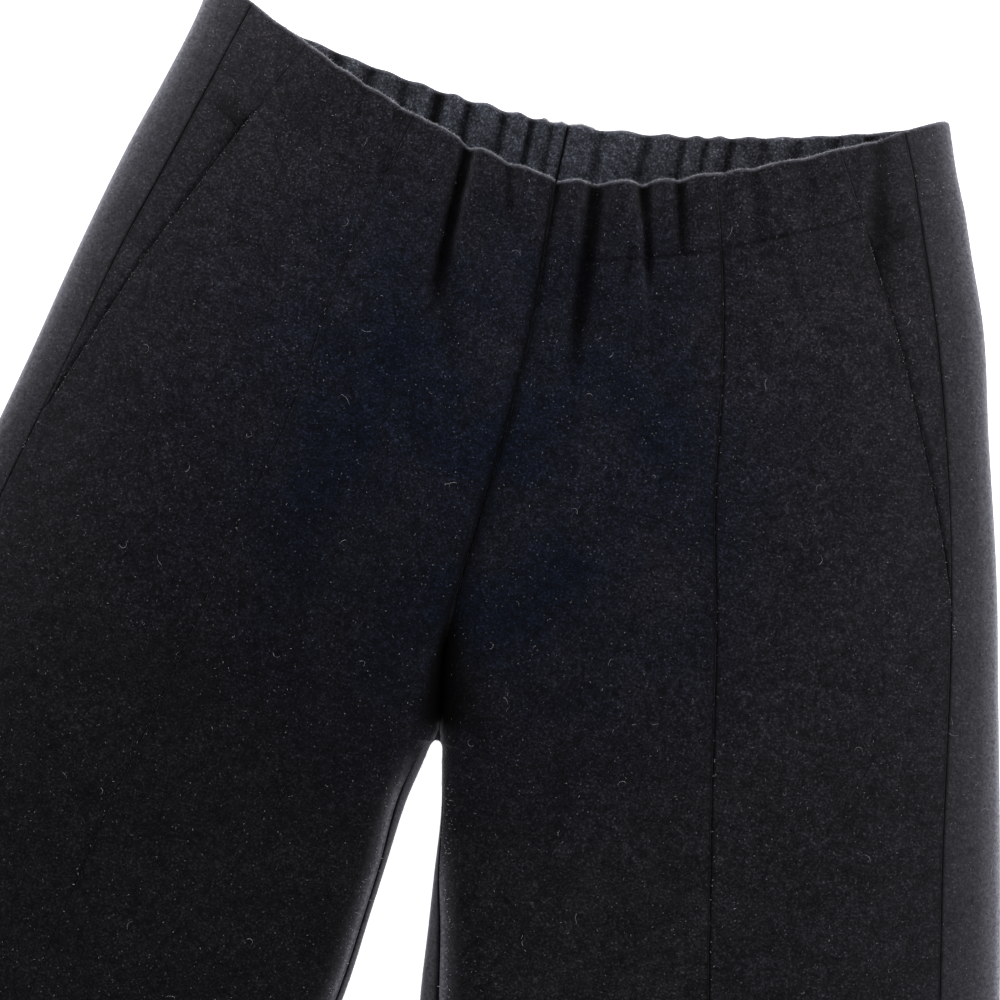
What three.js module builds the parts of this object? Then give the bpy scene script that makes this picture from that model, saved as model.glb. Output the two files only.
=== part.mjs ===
// Elastic-waist wool trousers, laid flat on their back with the front up and the legs apart.
// Millimetres. +Z is up, +Y points to the waist, +X is the wearer's left. While the cloth is worked
// out, y = 0 is the middle of the front waist edge; at the end the whole garment is moved so that
// the middle of its outline is at the origin.
import * as THREE from "three";

// ---------------------------------------------------------------- driving dimensions

const WALL = 1.8; // thickness of the wool
const SEAM = 0.3; // gap left between pieces at a seam
const CASING = 40; // height of the elastic casing at the waist
const ELASTIC = 3.2; // elastic and turned-in cloth inside the casing
const PUFF = 1.4; // how far the filled casing stands out
const CASING_LIP = 1.5; // the turned-in cloth starts this far below the waist edge
const INSIDE_SHARE = 0.5; // share of the front folds that shows on the inside of the casing

const FRONT_DIP = { right: 54, left: 60 }; // the front waist edge is this much lower in its middle
const FRONT_DIP_AT = 165; // half-width at which the dip is measured
const FRONT_DIP_POWER = 1.5; // 1 is a straight slope, 2 is a parabola
const BACK_RISE = 29; // the back waist edge stands above the front one in the middle
const BACK_DIP = 32; // and is this much lower in its middle than at the sides
const BACK_DIP_AT = 181;
const BACK_DIP_POWER = 1.7;
const BACK_SLANT = 0.033; // the back waist edge lies a little askew

const FORK = -283; // level of the crotch
const DIP_END = -220; // level where the cloth's cross lines have become straight
const LEG_SPREAD = 0.2; // sideways run of a leg for each millimetre down
const SPREAD_END = -420; // level from which a leg's cross lines are square to it
const HEM = -950; // level of the hem on the leg's axis

const ROUND_OUT = 105; // width of the rounding next to the outer edge
const ROUND_POWER = 2.3; // 2 is an ellipse, more is squarer
const UNDER_OUT = 16; // width of the lower rounding at the outer edge
const UNDER_IN = 13; // and at the inner edge of a leg
const FORK_RISE = 24; // length over which the back rises from the floor to the crotch
const INSEAM_STRIP = 0.02; // least width of back that shows above the inner edge of a leg

const POCKET = { topX: 134, topY: 37, endX: 225, endY: -160, bow: 5 }; // slanting pocket edge
const POCKET_UNDER = 16; // the facing reaches this far in under the pocket edge
const POCKET_GAP = 0.6; // room between the front and the facing under it
const FACING_SINKS = 4; // length below the casing over which the facing goes under
const FACING_RISES = { from: 4, over: 10 }; // shown widths at which it can rise to the side seam

// A row for each level: half-width to the outer edge, to the side seam and to the seam down the
// front of the leg, and the share by which the wearer's left half lies wider than the right.
const OUTLINE = [
  { y: 66, edge: 183, side: 159, leg: 62, ease: -0.012 },
  { y: 40, edge: 191.5, side: 168.5, leg: 68, ease: 0.005 },
  { y: 10, edge: 202, side: 178.5, leg: 76.5, ease: 0.014 },
  { y: -30, edge: 215.5, side: 191.5, leg: 87, ease: 0.021 },
  { y: -80, edge: 228, side: 206.5, leg: 97, ease: 0.021 },
  { y: -140, edge: 242, side: 221.5, leg: 105.5, ease: 0.024 },
  { y: -200, edge: 256, side: 236, leg: 119, ease: 0.02 },
  { y: -283, edge: 277, side: 252.5, leg: 135.5, ease: 0.01 },
  { y: -350, edge: 294, side: 268, leg: 150, ease: 0 },
  { y: -450, edge: 314, side: 288, leg: 170, ease: 0 },
  { y: -1000, edge: 424, side: 398, leg: 280, ease: 0 },
];

// The middle seam of the front wanders a little to each side.
const CENTRE = [
  { y: 66, x: 0 },
  { y: 0, x: 0 },
  { y: -60, x: 2.5 },
  { y: -110, x: 2 },
  { y: -165, x: -2 },
  { y: -233, x: -6 },
  { y: -283, x: 0 },
  { y: -1000, x: 0 },
];

// The inner edge of a leg, and how far in from it the inseam lies on the upper side of each leg.
const INNER = [
  { y: -283, edge: 0.15, right: 0.2, left: 0.2 },
  { y: -286, edge: 2.2, right: 3, left: 0.3 },
  { y: -292, edge: 4, right: 5, left: 0.4 },
  { y: -316, edge: 9, right: 4.2, left: 0.6 },
  { y: -347, edge: 12, right: 2.8, left: 2.5 },
  { y: -372, edge: 14.5, right: 2.6, left: 6 },
  { y: -412, edge: 18.5, right: 3, left: 9.5 },
  { y: -520, edge: 37, right: 4, left: 10 },
  { y: -1000, edge: 132, right: 5, left: 10 },
];

// Height of the upper side, and height at which the cloth turns under at its edges.
const LOFT = [
  { y: 66, crown: 27, lip: 12 },
  { y: 0, crown: 30, lip: 13 },
  { y: -60, crown: 33, lip: 14 },
  { y: -150, crown: 35, lip: 15 },
  { y: -283, crown: 34, lip: 15 },
  { y: -450, crown: 30, lip: 13 },
  { y: -700, crown: 25, lip: 11 },
  { y: -1000, crown: 18, lip: 8.5 },
];

// The hollow along the middle seam: its width on each side, and its depth as a share of the way
// from the crown down to the lip. It is deepest at the crotch, and steeper on the right half. On
// the legs it is their inner rounding.
const HOLLOW = [
  { y: 66, share: 0.03, right: 6, left: 6 },
  { y: -190, share: 0.04, right: 6, left: 6 },
  { y: -210, share: 0.14, right: 7, left: 9 },
  { y: -233, share: 0.55, right: 10, left: 17 },
  { y: -262, share: 1.12, right: 16, left: 28 },
  { y: -283, share: 1.3, right: 26, left: 38 },
  { y: -310, share: 1.08, right: 46, left: 52 },
  { y: -350, share: 1, right: 62, left: 66 },
  { y: -450, share: 1, right: 70, left: 70 },
  { y: -1000, share: 1, right: 70, left: 70 },
];

// Folds of the front: from one end to the other, half-width and rise (a trough has a negative rise).
const FRONT_FOLDS = [
  { fromX: -150, fromY: 60, toX: -160, toY: -2, width: 6, rise: -1.0 },
  { fromX: -114, fromY: 50, toX: -125, toY: -22, width: 6, rise: -1.3 },
  { fromX: -99, fromY: 46, toX: -107, toY: -40, width: 6.5, rise: -1.5 },
  { fromX: -79, fromY: 36, toX: -86, toY: -46, width: 6.5, rise: -1.7 },
  { fromX: -62, fromY: 30, toX: -66, toY: -50, width: 6, rise: 0.9 },
  { fromX: -45, fromY: 30, toX: -46, toY: -92, width: 5, rise: -4.6 },
  { fromX: -25, fromY: 14, toX: -15, toY: -34, width: 5, rise: -1.3 },
  { fromX: -1, fromY: 30, toX: 2, toY: -72, width: 5, rise: -2.2 },
  { fromX: 17, fromY: 30, toX: 31, toY: -122, width: 7, rise: -3.4 },
  { fromX: 36, fromY: 26, toX: 58, toY: -74, width: 5, rise: -4.2 },
  { fromX: 51, fromY: 14, toX: 48, toY: -84, width: 6, rise: 1.8 },
  { fromX: 55, fromY: 30, toX: 72, toY: -46, width: 5, rise: -2.5 },
  { fromX: 74, fromY: 34, toX: 84, toY: -30, width: 4.5, rise: 0.9 },
  { fromX: 86, fromY: 46, toX: 108, toY: -28, width: 6, rise: -2.0 },
  { fromX: 111, fromY: 56, toX: 131, toY: -14, width: 8, rise: -1.8 },
  { fromX: 133, fromY: 66, toX: 149, toY: 4, width: 6, rise: -1.2 },
  { fromX: 146, fromY: 76, toX: 168, toY: -28, width: 7, rise: -2.4 },
  { fromX: -17, fromY: -42, toX: -21, toY: -98, width: 8, rise: 1.3 },
  { fromX: 30, fromY: -175, toX: 62, toY: -214, width: 12, rise: -0.8 },
  { fromX: 12, fromY: -190, toX: 27, toY: -292, width: 10, rise: 1.8 },
];

// Gathers of the back casing, which push its cloth up off the floor between narrow creases: place,
// half-width and rise.
const BACK_FOLDS = [
  { x: -148, width: 7, rise: 1.2 },
  { x: -129, width: 7, rise: 1.6 },
  { x: -110, width: 7, rise: 1.5 },
  { x: -92, width: 6.5, rise: 2.0 },
  { x: -75, width: 6, rise: 2.4 },
  { x: -57.5, width: 4.6, rise: 2.6 },
  { x: -41, width: 5.8, rise: 3.2 },
  { x: -25, width: 4.4, rise: 2.8 },
  { x: -12.5, width: 3.6, rise: 2.2 },
  { x: 7, width: 6.2, rise: 3.4 },
  { x: 28, width: 8, rise: 3.0 },
  { x: 49, width: 6.2, rise: 2.8 },
  { x: 63.5, width: 3.6, rise: 2.4 },
  { x: 74.5, width: 4, rise: 2.6 },
  { x: 89, width: 5.6, rise: 2.4 },
  { x: 105, width: 6.4, rise: 1.8 },
  { x: 122, width: 6.6, rise: 1.7 },
  { x: 139, width: 6.4, rise: 1.3 },
  { x: 155, width: 5.4, rise: 1.1 },
];
const BACK_FOLD_RUN = 34; // length over which they die away below the casing
const BACK_FOLD_END = 168; // half-width beyond which the floor cloth is smooth
const BACK_FOLD_FADE = 10; // width over which they die away before it

// Levels of the cloth's cross lines.
const CASING_ROWS = [0, -10, -22, -34, -40];
const HIP_ROWS = [-48, -62, -82, -110, -145, -180, -207, -228, -248, -265, -276, FORK];
const LEG_ROWS = [-287, -293, -303, -320, -350, -395, -460, -550, -650, -750, -850, -915, HEM];
const PANEL_ROWS = [...CASING_ROWS, ...HIP_ROWS, ...LEG_ROWS];
const FACING_ROWS = [-62, -82, -110, -145, -180, -200];

// Segments across each stretch of cloth: in the gathered casing, below it, and on the smooth legs.
const CASING_TO = -CASING - 6;
const HIPS_TO = -215;
const SEGMENTS = {
  centre: { casing: 18, hips: 9, legs: 7 },
  side: { casing: 12, hips: 7, legs: 6 },
  facing: { casing: 6, hips: 4, legs: 4 },
  floor: { casing: 30, hips: 9, legs: 6 },
  bend: { casing: 3, hips: 3, legs: 3 },
  inseam: { casing: 2, hips: 2, legs: 2 },
};

// ---------------------------------------------------------------- curves and tables

const clamp01 = (t) => Math.min(Math.max(t, 0), 1);
const smooth = (t) => clamp01(t) ** 2 * (3 - 2 * clamp01(t));
const mix = (a, b, t) => a + (b - a) * t;

// A smooth function of y through one column of a table whose rows go down the garment.
function column(table, name) {
  const last = table.length - 1;
  const slopeAt = (i) => {
    const above = table[Math.max(i - 1, 0)];
    const below = table[Math.min(i + 1, last)];
    return (below[name] - above[name]) / (below.y - above.y);
  };
  return (y) => {
    const found = table.findIndex((row) => row.y < y);
    const i = found < 0 ? last - 1 : Math.max(found - 1, 0);
    const [a, b] = [table[i], table[i + 1]];
    const length = b.y - a.y;
    const t = clamp01((y - a.y) / length);
    const bend = slopeAt(i) * t * (1 - t) ** 2 - slopeAt(i + 1) * t ** 2 * (1 - t);
    return mix(a[name], b[name], t ** 2 * (3 - 2 * t)) + bend * length;
  };
}

const edgeHalf = column(OUTLINE, "edge");
const sideHalf = column(OUTLINE, "side");
const legHalf = column(OUTLINE, "leg");
const ease = column(OUTLINE, "ease");
const centreX = column(CENTRE, "x");
const innerHalf = column(INNER, "edge");
const inseamIn = { right: column(INNER, "right"), left: column(INNER, "left") };
const crown = column(LOFT, "crown");
const lip = column(LOFT, "lip");
const hollowShare = column(HOLLOW, "share");
const hollowWidth = { right: column(HOLLOW, "right"), left: column(HOLLOW, "left") };

// Quarter of a rounding: 0 at the edge, 1 where the cloth has come level.
const rounding = (t) => (1 - (1 - clamp01(t)) ** ROUND_POWER) ** (1 / ROUND_POWER);

// One half of the garment, the wearer's right or left, with the lines drawn on it. A line gives the
// distance out from the garment's middle at a level y.
function halfOf(name) {
  const sign = name === "left" ? 1 : -1;
  const eased = (line) => (y) => line(y) * (1 + sign * ease(y));
  const inner = (y) => (y > FORK ? 0 : innerHalf(y));
  const seamX = (y) => (y > FORK ? sign * centreX(y) : 0);
  return {
    name,
    sign,
    edge: eased(edgeHalf),
    side: eased(sideHalf),
    leg: eased(legHalf),
    inner,
    seamX,
    pocket: eased((y) => {
      const t = (POCKET.topY - y) / (POCKET.topY - POCKET.endY);
      return mix(POCKET.topX, POCKET.endX, t) + 4 * POCKET.bow * t * (1 - t);
    }),
    // Where the front's inner edge lies: on the middle seam, and on the inseam below the fork.
    front: (y) => (y > FORK ? seamX(y) + SEAM / 2 : inner(y) + inseamIn[name](y)),
  };
}

// ---------------------------------------------------------------- the lie of the cloth

// y on the cross line of a level, at a distance out; on the floor the back's own line holds.
function levelY(half, level, out, onFloor) {
  const kept = 1 - smooth((level + CASING) / (DIP_END + CASING));
  const front = FRONT_DIP[half.name] * Math.abs(out / FRONT_DIP_AT) ** FRONT_DIP_POWER;
  const slant = BACK_SLANT * half.sign * out;
  const back = BACK_RISE + BACK_DIP * Math.abs(out / BACK_DIP_AT) ** BACK_DIP_POWER + slant;
  const turned = LEG_SPREAD * smooth((level - FORK) / (SPREAD_END - FORK));
  const axis = (edgeHalf(level) + (level > FORK ? 0 : innerHalf(level))) / 2;
  return level + kept * mix(front, back, onFloor) + turned * (out - axis);
}

// The point of a cross line that lies on a given line of the half, found by closing in on it.
const MEET_STEPS = 12;
function meet(half, level, line, onFloor = 0) {
  let out = line(level);
  for (let step = 0; step < MEET_STEPS; step++) out = line(levelY(half, level, out, onFloor));
  return out;
}

// Height of the upper side, and of its innermost line, from which the back turns under.
function upperZ(half, out, y) {
  const outer = 1 - rounding((half.edge(y) - out) / ROUND_OUT);
  const hollow = 1 - rounding((out - half.seamX(y) - half.inner(y)) / hollowWidth[half.name](y));
  return crown(y) - (crown(y) - lip(y)) * (outer + hollowShare(y) * hollow);
}
const innerZ = (y) => crown(y) - (crown(y) - lip(y)) * hollowShare(y);

// Rise of the folds of the front at a point. A fold grows over its first quarter and dies away over
// its second half.
function frontRelief(half, out, y) {
  const x = half.sign * out;
  let rise = 0;
  for (const fold of FRONT_FOLDS) {
    const [dx, dy] = [fold.toX - fold.fromX, fold.toY - fold.fromY];
    const t = ((x - fold.fromX) * dx + (y - fold.fromY) * dy) / (dx * dx + dy * dy);
    const away = (x - fold.fromX - t * dx) / fold.width;
    rise += fold.rise * Math.exp(-away * away) * smooth(4 * t) * smooth(2 * (1 - t));
  }
  return rise;
}

// The casing stands out between its edge and its line of stitches.
const puff = (level) => (level > -CASING ? PUFF * Math.sin((-Math.PI * level) / CASING) : 0);

// Rise of the gathers of the back casing, which lies on the floor.
function backRelief(half, out, level) {
  const x = half.sign * out;
  const inBand = 1 - smooth((-CASING - level) / BACK_FOLD_RUN);
  const inWidth = smooth((BACK_FOLD_END - out) / BACK_FOLD_FADE);
  const rise = BACK_FOLDS.reduce((sum, f) => sum + f.rise * Math.exp(-(((x - f.x) / f.width) ** 2)), 0);
  return rise * inBand * inWidth;
}

// ---------------------------------------------------------------- surfaces

// Upper side across a row of lines: u is 0 on the first line, 1 on the second, and so on.
function frontSurface(half, lines, sunk = () => 0) {
  return (u, level) => {
    const span = Math.min(Math.max(Math.floor(u), 0), lines.length - 2);
    const [inner, outer] = [meet(half, level, lines[span]), meet(half, level, lines[span + 1])];
    const out = mix(inner, outer, u - span);
    const y = levelY(half, level, out, 0);
    const base = new THREE.Vector3(half.sign * out, y, upperZ(half, out, y));
    return { base, relief: frontRelief(half, out, y) + puff(level), sunk: sunk(out, y, level) };
  };
}

// The back, from the side seam over the outer edge, along the floor, and up the inner side of the
// leg to the inseam. u is 0 to 1 above the outer edge, 1 to 2 below it, 2 to 3 on the floor, 3 to 4
// below the inner edge and 4 to 5 above it. Above the crotch it ends at u = 4, on the middle seam.
function backSurface(half) {
  const edgeLine = (y) => half.edge(y);
  return (u, level) => {
    const onFloor = smooth(u);
    const edge = meet(half, level, edgeLine, onFloor);
    const seam = meet(half, level, (y) => half.side(y) + SEAM / 2);
    const inner = level > FORK ? SEAM / 2 : meet(half, level, half.inner, 1);
    const risen = level > FORK ? smooth((FORK + FORK_RISE - level) / FORK_RISE) : 1;
    let out;
    let height;
    if (u < 1) {
      out = mix(seam, edge, Math.sin((u * Math.PI) / 2));
      height = (y) => upperZ(half, out, y);
    } else if (u < 2) {
      const turn = ((u - 1) * Math.PI) / 2;
      out = edge - UNDER_OUT * (1 - Math.cos(turn));
      height = (y) => lip(y) * (1 - Math.sin(turn));
    } else if (u < 3) {
      out = mix(edge - UNDER_OUT, inner + UNDER_IN, u - 2);
      height = () => 0;
    } else if (u < 4 || level > FORK) {
      const turn = ((4 - u) * Math.PI) / 2;
      out = inner + UNDER_IN * mix(4 - u, 1 - Math.cos(turn), risen);
      height = (y) => risen * (innerZ(y) - SEAM / 2) * (1 - Math.sin(turn));
    } else {
      const inseam = Math.max(meet(half, level, half.front) - SEAM, inner + INSEAM_STRIP);
      out = mix(inner, inseam, 1 - Math.cos(((u - 4) * Math.PI) / 2));
      height = (y) => upperZ(half, out, y);
    }
    const y = levelY(half, level, out, onFloor);
    const base = new THREE.Vector3(half.sign * out, y, height(y));
    return { base, relief: u > 2 && u < 4 ? backRelief(half, out, level) : 0, sunk: 0 };
  };
}

// Outward normal of a surface, from neighbouring points across it and down it.
const NEAR = { across: 0.004, down: 0.4 };
function normalAt(surface, half, u, level) {
  const across = surface(u + NEAR.across, level).base.sub(surface(u - NEAR.across, level).base);
  const down = surface(u, level - NEAR.down).base.sub(surface(u, level + NEAR.down).base);
  return down.cross(across).multiplyScalar(half.sign).normalize();
}

// The point at a depth below a surface. Folds lift the cloth along Z, by a share of their rise.
function pointAt(surface, half, u, level, depth, share = 1) {
  const { base, relief, sunk } = surface(u, level);
  const normal = normalAt(surface, half, u, level);
  return base.addScaledVector(normal, -depth - sunk).add(new THREE.Vector3(0, 0, relief * share));
}

// ---------------------------------------------------------------- walls

// Evenly spaced values of u from a list of spans, each with its number of segments.
function spread(spans) {
  const values = [];
  for (const { from, to, segments } of spans)
    for (let k = values.length ? 1 : 0; k <= segments; k++) values.push(mix(from, to, k / segments));
  return values;
}

// A closed wall between two depths of a surface. Each level has its own number of points, and
// neighbouring levels are joined by triangles that follow u.
function wall(half, { surface, rows, spans, top = 0, bottom = WALL, bottomShare = 1 }) {
  const outer = [];
  const inner = [];
  const starts = [];
  const us = rows.map((level) => spread(spans(level)));
  rows.forEach((level, r) => {
    starts.push(outer.length);
    for (const u of us[r]) {
      outer.push(pointAt(surface, half, u, level, top));
      inner.push(pointAt(surface, half, u, level, bottom, bottomShare));
    }
  });
  const skin = [];
  const add = (a, b, c) => skin.push(half.sign > 0 ? [a, b, c] : [a, c, b]);
  for (let r = 0; r + 1 < rows.length; r++) {
    const [above, below] = [us[r], us[r + 1]];
    let [i, j] = [0, 0];
    while (i < above.length - 1 || j < below.length - 1) {
      const [a, b] = [starts[r] + i, starts[r + 1] + j];
      const alongAbove = j === below.length - 1 || (i < above.length - 1 && above[i + 1] <= below[j + 1]);
      add(a, b, alongAbove ? a + 1 : b + 1);
      if (alongAbove) i++;
      else j++;
    }
  }
  const count = outer.length;
  const faces = [...skin, ...skin.map(([a, b, c]) => [a + count, c + count, b + count])];
  const edges = new Set(skin.flatMap(([a, b, c]) => [`${a} ${b}`, `${b} ${c}`, `${c} ${a}`]));
  for (const edge of edges) {
    const [a, b] = edge.split(" ").map(Number);
    if (!edges.has(`${b} ${a}`)) faces.push([b, a, a + count], [b, a + count, b + count]);
  }
  const geometry = new THREE.BufferGeometry();
  geometry.setFromPoints([...outer, ...inner]);
  geometry.setIndex(faces.flat());
  geometry.computeVertexNormals();
  return geometry;
}

// ---------------------------------------------------------------- pieces

// One stretch of u, from one whole number to the next, with its segments at a level.
function stretch(level, from, name) {
  const zone = level > CASING_TO ? "casing" : level > HIPS_TO ? "hips" : "legs";
  return { from, to: from + 1, segments: SEGMENTS[name][zone] };
}

function frontCentre(half) {
  return wall(half, {
    surface: frontSurface(half, [half.front, (y) => half.leg(y) - SEAM / 2]),
    rows: PANEL_ROWS,
    spans: (level) => [stretch(level, 0, "centre")],
  });
}

function frontSide(half) {
  const sideLine = (y) => half.side(y) - SEAM / 2;
  const outerLine = (y) => (y > POCKET.endY ? Math.min(half.pocket(y), sideLine(y)) : sideLine(y));
  return wall(half, {
    surface: frontSurface(half, [(y) => half.leg(y) + SEAM / 2, outerLine]),
    rows: PANEL_ROWS,
    spans: (level) => [stretch(level, 0, "side")],
  });
}

// The hip piece that shows between the pocket edge and the side seam. Below the casing it reaches
// in under the front, and it rises to the side seam where there is room.
function pocketFacing(half) {
  const sunkFrom = -CASING - FACING_SINKS;
  const underFrom = sunkFrom - 1;
  const outerLine = (y) => half.side(y) - SEAM / 2;
  const sunk = (out, y, level) => {
    const shown = Math.max(outerLine(y) - half.pocket(y), 1);
    const hasRoom = smooth((shown - FACING_RISES.from) / FACING_RISES.over);
    const risen = hasRoom * smooth((out - half.pocket(y) - SEAM) / shown);
    return (WALL + POCKET_GAP) * smooth((-CASING - level) / FACING_SINKS) * (1 - risen);
  };
  const besidePocket = frontSurface(half, [(y) => half.pocket(y) + SEAM, outerLine], sunk);
  const underPocket = frontSurface(half, [(y) => half.pocket(y) - POCKET_UNDER, outerLine], sunk);
  const changeAt = (sunkFrom + underFrom) / 2;
  return wall(half, {
    surface: (u, level) => (level > changeAt ? besidePocket : underPocket)(u, level),
    rows: [...CASING_ROWS, sunkFrom, underFrom, ...FACING_ROWS],
    spans: (level) => [stretch(level, 0, "facing")],
  });
}

function back(half) {
  return wall(half, {
    surface: backSurface(half),
    rows: PANEL_ROWS,
    spans: (level) => [
      stretch(level, 0, "bend"),
      stretch(level, 1, "bend"),
      stretch(level, 2, "floor"),
      stretch(level, 3, "bend"),
      ...(level > FORK ? [] : [stretch(level, 4, "inseam")]),
    ],
  });
}

// The turned-in cloth of the casing with the elastic in it, on the same cross lines as the panels.
const CASING_INSIDE = {
  rows: [-CASING_LIP, ...CASING_ROWS.slice(1, -1), -CASING + CASING_LIP],
  top: WALL + SEAM,
  bottom: WALL + SEAM + ELASTIC,
};

function casingFront(half) {
  return wall(half, {
    ...CASING_INSIDE,
    surface: frontSurface(half, [half.front, half.leg, half.pocket, (y) => half.side(y) - SEAM / 2]),
    spans: (level) => [
      stretch(level, 0, "centre"),
      stretch(level, 1, "side"),
      stretch(level, 2, "facing"),
    ],
    bottomShare: INSIDE_SHARE,
  });
}

function casingBack(half) {
  return wall(half, {
    ...CASING_INSIDE,
    surface: backSurface(half),
    spans: (level) => [
      stretch(level, 0, "bend"),
      stretch(level, 1, "bend"),
      stretch(level, 2, "floor"),
      stretch(level, 3, "bend"),
    ],
  });
}

// ---------------------------------------------------------------- assembly

const CLOTH = { color: 0x1d2028, roughness: 0.95, metalness: 0 };
const INSIDE = { color: 0x23252c, roughness: 0.95, metalness: 0 };

const PIECES = [
  { name: "front_centre", make: frontCentre, finish: CLOTH },
  { name: "front_side", make: frontSide, finish: CLOTH },
  { name: "pocket_facing", make: pocketFacing, finish: CLOTH },
  { name: "back", make: back, finish: CLOTH },
  { name: "waist_casing_front", make: casingFront, finish: INSIDE },
  { name: "waist_casing_back", make: casingBack, finish: INSIDE },
];

const trousers = new THREE.Group();
for (const half of [halfOf("right"), halfOf("left")]) {
  for (const { name, make, finish } of PIECES) {
    const mesh = new THREE.Mesh(make(half), new THREE.MeshStandardMaterial(finish));
    mesh.name = `${name}_${half.name}`;
    trousers.add(mesh);
  }
}

const outline = new THREE.Box3().setFromObject(trousers);
const middle = outline.getCenter(new THREE.Vector3());
trousers.position.set(-middle.x, -middle.y, -outline.min.z);

export default trousers;
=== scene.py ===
# %% [markdown]
# # Wool trousers with an elastic waist, laid flat
#
# This lesson dresses a plain CAD model of a pair of trousers. The trousers lie on their back with the
# front up. They are cut from thick felted wool: two front panels and a hip piece for each side, one
# back panel for each leg, and at the waist a casing turned in over a wide elastic.
#
# The CAD model is the fixed frame. It says how large each piece is and where it lies, so every cloth
# piece below is made from the same sizes and the same lines, only with many more points.

# %% The fixed frame
import math

import bpy
import numpy as np
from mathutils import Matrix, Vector


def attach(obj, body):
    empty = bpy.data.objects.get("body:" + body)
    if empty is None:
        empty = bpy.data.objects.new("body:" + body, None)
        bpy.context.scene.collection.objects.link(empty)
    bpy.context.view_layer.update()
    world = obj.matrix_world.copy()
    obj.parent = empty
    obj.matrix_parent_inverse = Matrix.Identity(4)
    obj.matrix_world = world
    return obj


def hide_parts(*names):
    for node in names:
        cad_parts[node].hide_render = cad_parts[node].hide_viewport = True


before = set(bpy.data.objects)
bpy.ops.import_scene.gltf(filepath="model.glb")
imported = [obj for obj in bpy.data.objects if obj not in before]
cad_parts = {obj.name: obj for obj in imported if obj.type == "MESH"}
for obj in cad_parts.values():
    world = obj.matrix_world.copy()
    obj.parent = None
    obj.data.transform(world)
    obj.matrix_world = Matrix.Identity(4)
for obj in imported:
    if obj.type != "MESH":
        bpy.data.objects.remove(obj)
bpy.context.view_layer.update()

# %% [markdown]
# ## The sizes of the cloth
#
# A pattern cutter starts with a list of sizes, and so does this script. They are in millimetres. While
# the cloth is worked out, y = 0 is the middle of the front waist edge and the legs run down to
# negative y. `SHIFT` moves the finished cloth to where the CAD model has it.

# %% Sizes in millimetres
WALL = 1.8  # thickness of the wool
SEAM = 0.04  # gap between two pieces that are sewn together
CASING = 40.0  # height of the elastic casing
ROLL = 2.65  # radius of the cloth where it turns over the waist edge
PUFF = 0.7  # how far the filled casing stands out

FRONT_DIP = {"right": 54.0, "left": 60.0}  # the front waist edge is this much lower in its middle
FRONT_DIP_AT = 165.0
FRONT_DIP_POWER = 1.5
BACK_RISE = 29.0  # the back waist edge stands above the front one
BACK_DIP = 32.0
BACK_DIP_AT = 181.0
BACK_DIP_POWER = 1.7
BACK_SLANT = 0.033  # the back waist edge lies a little askew

FORK = -283.0  # level of the crotch
DIP_END = -220.0  # the dip of the waist has died out here
LEG_SPREAD = 0.2  # slope of the legs, which lie apart
SPREAD_END = -420.0
HEM = -950.0

ROUND_OUT = 105.0  # width of the rounding beside the outer edge
ROUND_POWER = 2.3
UNDER_OUT = 16.0  # how far the back curls under at the outer edge
UNDER_IN = 13.0
FORK_RISE = 24.0  # the back comes up to the crotch over this much
INSEAM_STRIP = 0.02
CROTCH_OPENS = 1.6  # the fronts part by this much each, just above the crotch
CROTCH_OPENS_OVER = 8.0
LEFT_STRIP = {"edge": 3.6, "side": -2.6}  # the back comes further round the left leg
LEFT_EDGE_STEPS = [(48.0, 26.0, 0.45), (-60.0, 120.0, 0.55)]  # level, over how much, share
LEFT_SIDE_STEP = (-90.0, 130.0)

POCKET = {"top_x": 134.0, "top_y": 37.0, "end_x": 225.0, "end_y": -160.0, "bow": 5.0}
POCKET_UNDER = 16.0  # how far the hip piece reaches under the front
POCKET_GAP = 0.5

SHIFT = 455.585  # from the front waist edge to the middle of the garment's outline
print("waist", 2 * BACK_DIP_AT, "mm flat, inseam", FORK - HEM, "mm")

# %% [markdown]
# ## Tables for what changes down the garment
#
# Half-widths, heights and seams change from the waist to the hem. Each table has a row for a level
# `y`, and its first line names the columns. The curve between the rows is smooth. Tables like these
# are easy to read and to correct, which is why no outline is typed in as a long list of points.

# %% Outline, middle seam and inner edge
def table(names, *rows):
    return [dict(zip(names.split(), row)) for row in rows]


OUTLINE = table(
    "y edge side leg ease",
    (66, 185.5, 159, 62, -0.006),
    (40, 192.5, 168.5, 68, 0.007),
    (10, 202, 178.5, 76.5, 0.014),
    (-30, 215.5, 191.5, 87, 0.021),
    (-80, 228, 206.5, 97, 0.021),
    (-140, 242, 221.5, 105.5, 0.024),
    (-200, 256, 236, 119, 0.02),
    (-283, 277, 252.5, 135.5, 0.01),
    (-350, 294, 268, 150, 0),
    (-450, 314, 288, 170, 0),
    (-1000, 424, 398, 280, 0),
)
CENTRE = table(
    "y x",
    (66, 0),
    (0, 0),
    (-60, 2.5),
    (-110, 2),
    (-165, -2),
    (-233, -6),
    (-283, 0),
    (-1000, 0),
)
INNER = table(
    "y edge right left",
    (-283, 1.5, 0.8, 0.6),
    (-285, 2.8, 3.4, 0.7),
    (-292, 4.2, 4.6, 0.5),
    (-316, 9, 4.2, 0.6),
    (-347, 12, 2.8, 2.5),
    (-372, 14.5, 2.6, 6),
    (-412, 18.5, 3, 9.5),
    (-520, 37, 4, 10),
    (-1000, 132, 5, 10),
)

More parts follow.
